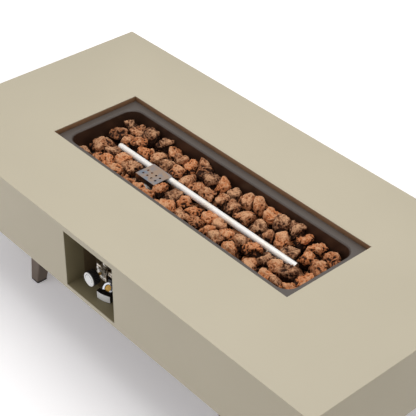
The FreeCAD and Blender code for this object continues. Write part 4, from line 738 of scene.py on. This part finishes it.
def make_rocks(node, name, detail, seed):
    """Rounded, pitted stones in the place of the faceted lumps of one node."""
    full_relief = 14 * MM
    chance = random.Random(seed)
    directions, faces = unit_ball(detail)
    inset = sizes().rock_inset
    points, loops, tones, relief_and_light_shares = [], [], [], []
    for centre, planes in rock_solids(node):
        reach = rock_reach(planes, centre, directions)
        tone = chance.uniform(0.0, 1.0)
        shift = Vector([chance.uniform(-1, 1) for _ in range(3)])
        soot = chance.uniform(-0.2, 0.1)
        start = len(points)
        for direction, distance in zip(directions, reach):
            outward = Vector(direction)
            height, share = rock_relief(centre + outward * distance, shift)
            room = min(1.0, distance / full_relief)
            points.append(centre + outward * (distance + (height - inset) * room))
            # Painted light: the top of a stone is made lighter and its sides darker, as light from
            # above falls on it
            share += soot + 0.55 * (outward.z - 0.4)
            relief_and_light_shares.append(min(1.0, max(0.0, share)))
        tones.extend([tone] * len(directions))
        loops.append(faces + start)
    mesh = bpy.data.meshes.new(name)
    mesh.from_pydata([point[:] for point in points], [], np.concatenate(loops).tolist())
    mesh.attributes.new("tone", "FLOAT", "POINT").data.foreach_set("value", tones)
    mesh.attributes.new("relief", "FLOAT", "POINT").data.foreach_set("value", relief_and_light_shares)
    mesh.shade_smooth()
    add_piece(name, mesh, "table", node)


# Operators

class FIREPIT_OT_materials(bpy.types.Operator):
    """Make the finishes of all pieces"""
    bl_idname = "firepit.materials"
    bl_label = "Finishes"

    def execute(self, context):
        make_materials()
        return {"FINISHED"}


class FIREPIT_OT_casing(bpy.types.Operator):
    """Make the powder-coated casing with rounded sheet edges"""
    bl_idname = "firepit.casing"
    bl_label = "Casing"

    def execute(self, context):
        width = sizes().sheet_round
        low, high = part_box("top_panel")
        form = node_form("top_panel")
        round_edges(form, lambda a, b: near(a.z, high.z) and near(b.z, high.z), width)
        add_form("casing_top", form, "table", "top_panel")
        for side in ("front", "back", "left", "right"):
            node = side + "_apron"
            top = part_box(node)[1].z
            form = node_form(node)
            is_end = side in ("left", "right")
            axis = 0 if is_end else 1
            outer = (low[axis], high[axis])
            corners = (low.y, high.y) if is_end else ()

            def on_face(a, b):
                if not (near(a[axis], *outer) and near(b[axis], *outer)):
                    return False
                if near(a.z, top) and near(b.z, top):
                    return False
                return not (near(a.y, *corners) and near(b.y, *corners))

            round_edges(form, on_face, width)
            add_form("casing_" + side, form, "table", node)
        return {"FINISHED"}


class FIREPIT_OT_niche(bpy.types.Operator):
    """Finish the niche, the pan behind it and its screws"""
    bl_idname = "firepit.niche"
    bl_label = "Control niche"

    def execute(self, context):
        dress("niche_box", "niche_back_pan", "niche_screws")
        return {"FINISHED"}


class FIREPIT_OT_frame(bpy.types.Operator):
    """Finish the welded frame under the top"""
    bl_idname = "firepit.frame"
    bl_label = "Frame"

    def execute(self, context):
        dress("rim_rails", "burner_rails", "cross_rails", "top_stiffeners", "base_rails",
              "frame_posts")
        return {"FINISHED"}


class FIREPIT_OT_legs(bpy.types.Operator):
    """Finish the legs, their plates, bolts and glides"""
    bl_idname = "firepit.legs"
    bl_label = "Legs"

    def execute(self, context):
        dress("leg_front_left", "leg_front_right", "leg_back_left", "leg_back_right",
              "leg_plates", "leg_bolts", "leg_nuts", "foot_glides")
        return {"FINISHED"}


class FIREPIT_OT_tray(bpy.types.Operator):
    """Finish the pressed burner tray"""
    bl_idname = "firepit.tray"
    bl_label = "Burner tray"

    def execute(self, context):
        dress("burner_tray")
        return {"FINISHED"}


class FIREPIT_OT_burner(bpy.types.Operator):
    """Finish the burner tube, its saddles and the gas feed"""
    bl_idname = "firepit.burner"
    bl_label = "Burner"

    def execute(self, context):
        dress("burner_tube", "burner_end_caps", "burner_saddles", "burner_feed", "feed_nuts",
              "mixer", "injector")
        return {"FINISHED"}


class FIREPIT_OT_pilot(bpy.types.Operator):
    """Finish the pilot group and its perforated cover"""
    bl_idname = "firepit.pilot"
    bl_label = "Pilot"

    def execute(self, context):
        dress("pilot_cover", "pilot_bracket", "pilot_burner", "flame_sensor", "spark_ceramic",
              "spark_rod")
        return {"FINISHED"}


class FIREPIT_OT_valve(bpy.types.Operator):
    """Finish the gas valve with its nuts, pipes and leads"""
    bl_idname = "firepit.valve"
    bl_label = "Valve and pipes"

    def execute(self, context):
        size = sizes()
        form = node_form("valve_body")
        round_edges(form, longer_than(6), size.cast_round)
        low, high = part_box("knob")
        middle = (low + high) / 2
        # The plate's two screws stand off the stem's axis, in millimetres across and up
        for across, up in ((-13.0, 10.0), (9.5, -10.0)):
            place = Vector((middle.x + across * MM, valve_plate(), middle.z + up * MM))
            domed_head(form, place, size.screw_head)
        add_form("valve_casting", form, "table", "valve_body")
        nuts = node_form("valve_nuts")
        round_edges(nuts, longer_than(4), size.nut_round)
        add_form("rounded_valve_nuts", nuts, "table", "valve_nuts")
        add_spring("valve_spring")
        dress("valve_plunger", "valve_stem", "pipe_nuts", "inlet_elbow", "burner_gas_pipe",
              "pilot_gas_pipe", "sensor_lead", "spark_lead", "inlet_pipe", "gas_inlet")
        return {"FINISHED"}


class FIREPIT_OT_knob(bpy.types.Operator):
    """Finish the fluted knob and its printed face"""
    bl_idname = "firepit.knob"
    bl_label = "Knob"

    def execute(self, context):
        low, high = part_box("knob")
        middle = (low + high) / 2
        inner = (high.x - low.x) / 2 - 2 * MM

        def on_front_rim(a, b):
            far = min(math.hypot(end.x - middle.x, end.z - middle.z) for end in (a, b))
            return near(a.y, low.y) and near(b.y, low.y) and far > inner

        form = node_form("knob")
        round_edges(form, on_front_rim, sizes().knob_round)
        add_form("knob_grip", form, "knob_and_stem", "knob")
        dress("knob_face")
        return {"FINISHED"}


class FIREPIT_OT_igniter(bpy.types.Operator):
    """Finish the igniter with its ring, button and cell"""
    bl_idname = "firepit.igniter"
    bl_label = "Igniter"

    def execute(self, context):
        low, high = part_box("igniter_bezel")
        button = (low + high) / 2

        long_enough = longer_than(2.5)
        ring_room = 16 * MM

        def on_case(a, b):
            clear = min((end - button).length for end in (a, b))
            return clear > ring_room and long_enough(a, b)

        form = node_form("igniter_housing")
        round_edges(form, on_case, sizes().case_round)
        add_form("igniter_case", form, "table", "igniter_housing")
        add_spring("button_spring")
        dress("igniter_label", "igniter_bezel", "igniter_button", "igniter_battery")
        return {"FINISHED"}


class FIREPIT_OT_rocks(bpy.types.Operator):
    """Make the lava rocks in front of, behind and under the burner tube"""
    bl_idname = "firepit.rocks"
    bl_label = "Lava rocks"

    def execute(self, context):
        size = sizes()
        make_rocks("lava_rocks_front", "rocks_in_front", size.upper_detail, 3)
        make_rocks("lava_rocks_back", "rocks_behind", size.upper_detail, 4)
        make_rocks("lava_rocks_lower", "rocks_below", size.lower_detail, 5)
        return {"FINISHED"}


class FIREPIT_OT_stage(bpy.types.Operator):
    """Set the floor, the soft studio light and the camera"""
    bl_idname = "firepit.stage"
    bl_label = "Stage"

    def execute(self, context):
        setup = stage_setup()
        scene = context.scene
        scene.view_settings.view_transform = "Standard"
        self.make_floor(setup)
        self.make_world(setup)
        self.make_light("overhead_soft_box", place=(0.0, 0.2, 3.2), turn=(0, 0, 0), size=3.0,
                        power=setup.key_power)
        side = self.make_light("side_soft_box", place=(-1.6, -2.9, 1.5), turn=(70, 0, -29),
                               size=1.8, power=setup.side_power)
        side.color = setup.side_tint
        lens = bpy.data.cameras.new("camera")
        lens.lens = setup.lens
        lens.clip_end = 100.0
        camera = bpy.data.objects.new("camera", lens)
        context.collection.objects.link(camera)
        turn = (Matrix.Rotation(setup.azimuth, 4, "Z")
                @ Matrix.Rotation(math.pi / 2 - setup.elevation, 4, "X")
                @ Matrix.Rotation(setup.roll, 4, "Z"))
        camera.matrix_world = Matrix.Translation(setup.place) @ turn
        scene.camera = camera
        return {"FINISHED"}

    def make_floor(self, setup):
        """Pale floor whose brightness only the camera and mirrors see raised."""
        half_width = 12.0
        fade_shape = (1.0, 1.6, 0.0)
        form = bmesh.new()
        bmesh.ops.create_grid(form, x_segments=8, y_segments=8, size=half_width)
        mesh = bpy.data.meshes.new("floor")
        form.to_mesh(mesh)
        form.free()
        floor = bpy.data.objects.new("floor", mesh)
        bpy.context.collection.objects.link(floor)
        material, tree, place = start_material("sealed_pale_concrete")
        cloud = add(tree, "TexNoise", {"Vector": place, "Scale": scale(400), "Detail": 4.0})
        tint = add(tree, "Mix", {0: cloud, 6: shade(setup.floor, 0.985), 7: setup.floor},
                   data_type="RGBA")
        paler = add(tree, "VectorMath", {0: tint.outputs[2], "Scale": setup.floor_seen},
                    operation="SCALE")
        seen = self.seen_plainly(tree)
        colour = add(tree, "Mix", {0: seen, 6: tint.outputs[2], 7: paler}, data_type="RGBA")
        # A glow that is seen but lights nothing: it lifts the shadow a little, and whitens the
        # floor away from the table, within an ellipse, up to the backdrop
        flat = add(tree, "VectorMath", {0: place, 1: fade_shape}, operation="MULTIPLY")
        far = add(tree, "VectorMath", {0: flat}, operation="LENGTH").outputs["Value"]
        lift = add(tree, "MapRange", {"Value": far, "From Min": setup.glow_near,
                                      "From Max": setup.glow_far, "To Min": setup.floor_glow},
                   interpolation_type="SMOOTHSTEP")
        glow = add(tree, "Math", {0: seen, 1: lift}, operation="MULTIPLY")
        mesh.materials.append(finish_material(
            material, tree, Base_Color=colour.outputs[2], Roughness=0.85,
            Emission_Color=srgb("fffafd"), Emission_Strength=glow))

    def seen_plainly(self, tree):
        """One for rays that show the surroundings: straight, mirrored or through glass."""
        path = add(tree, "LightPath").outputs
        seen = add(tree, "Math", {0: path["Is Camera Ray"], 1: path["Is Glossy Ray"]},
                   operation="MAXIMUM")
        return add(tree, "Math", {0: seen, 1: path["Is Transmission Ray"]},
                   operation="MAXIMUM")

    def make_world(self, setup):
        """Even studio light that looks white to the camera."""
        world = bpy.data.worlds.new("studio")
        bpy.context.scene.world = world
        world.use_nodes = True
        tree = world.node_tree
        tree.nodes.clear()
        seen = self.seen_plainly(tree)
        strength = add(tree, "Mix", {0: seen, 2: setup.sky, 3: 1.0}, data_type="FLOAT")
        # Bright metal needs something dark to mirror: a grey horizon under a pale ceiling
        way = add(tree, "TexCoord").outputs["Generated"]
        rise = add(tree, "SeparateXYZ", {"Vector": way}).outputs["Z"]
        ceiling = add(tree, "MapRange", {"Value": rise, "From Min": 0.1, "From Max": 0.75,
                                         "To Min": 0.12, "To Max": 1.0})
        glossy = add(tree, "LightPath").outputs["Is Glossy Ray"]
        mirrored = add(tree, "Mix", {0: glossy, 2: 1.0, 3: ceiling}, data_type="FLOAT")
        level = add(tree, "Math", {0: strength, 1: mirrored}, operation="MULTIPLY")
        ground = add(tree, "Background", {"Color": (1.0, 1.0, 1.0), "Strength": level})
        add(tree, "OutputWorld", {"Surface": ground})

    def make_light(self, name, place, turn, size, power):
        """Round soft box at a place in metres, turned from straight down by three angles."""
        data = bpy.data.lights.new(name, "AREA")
        data.shape = "DISK"
        data.size = size
        data.energy = power
        light = bpy.data.objects.new(name, data)
        bpy.context.collection.objects.link(light)
        angles = Euler([math.radians(angle) for angle in turn])
        light.matrix_world = Matrix.Translation(place) @ angles.to_matrix().to_4x4()
        return data


GROUPS = (
    (FirePitFinishes, "fire_pit_finishes"),
    (FirePitSizes, "fire_pit_sizes"),
    (FirePitStage, "fire_pit_stage"),
)

OPERATORS = (
    FIREPIT_OT_materials,
    FIREPIT_OT_casing,
    FIREPIT_OT_niche,
    FIREPIT_OT_frame,
    FIREPIT_OT_legs,
    FIREPIT_OT_tray,
    FIREPIT_OT_burner,
    FIREPIT_OT_pilot,
    FIREPIT_OT_valve,
    FIREPIT_OT_knob,
    FIREPIT_OT_igniter,
    FIREPIT_OT_rocks,
    FIREPIT_OT_stage,
)


class FIREPIT_PT_panel(bpy.types.Panel):
    """Sizes, finishes and steps of the fire pit table"""
    bl_idname = "FIREPIT_PT_panel"
    bl_label = "Fire pit table"
    bl_space_type = "VIEW_3D"
    bl_region_type = "UI"
    bl_category = "Fire Pit"

    def draw(self, context):
        layout = self.layout
        for group, name in GROUPS:
            box = layout.box()
            values = getattr(context.scene, name)
            for key in group.__annotations__:
                box.prop(values, key)
        for operator in OPERATORS:
            layout.operator(operator.bl_idname)


def register():
    """Add the settings, steps and panel to Blender."""
    for group, name in GROUPS:
        bpy.utils.register_class(group)
        setattr(bpy.types.Scene, name, PointerProperty(type=group))
    for operator in OPERATORS:
        bpy.utils.register_class(operator)
    bpy.utils.register_class(FIREPIT_PT_panel)


def unregister():
    """Take the settings, steps and panel out of Blender."""
    bpy.utils.unregister_class(FIREPIT_PT_panel)
    for operator in reversed(OPERATORS):
        bpy.utils.unregister_class(operator)
    for group, name in reversed(GROUPS):
        delattr(bpy.types.Scene, name)
        bpy.utils.unregister_class(group)


def main():
    """Run every step in order."""
    register()
    for operator in OPERATORS:
        family, step = operator.bl_idname.split(".")
        getattr(getattr(bpy.ops, family), step)()


if __name__ == "__main__":
    main()
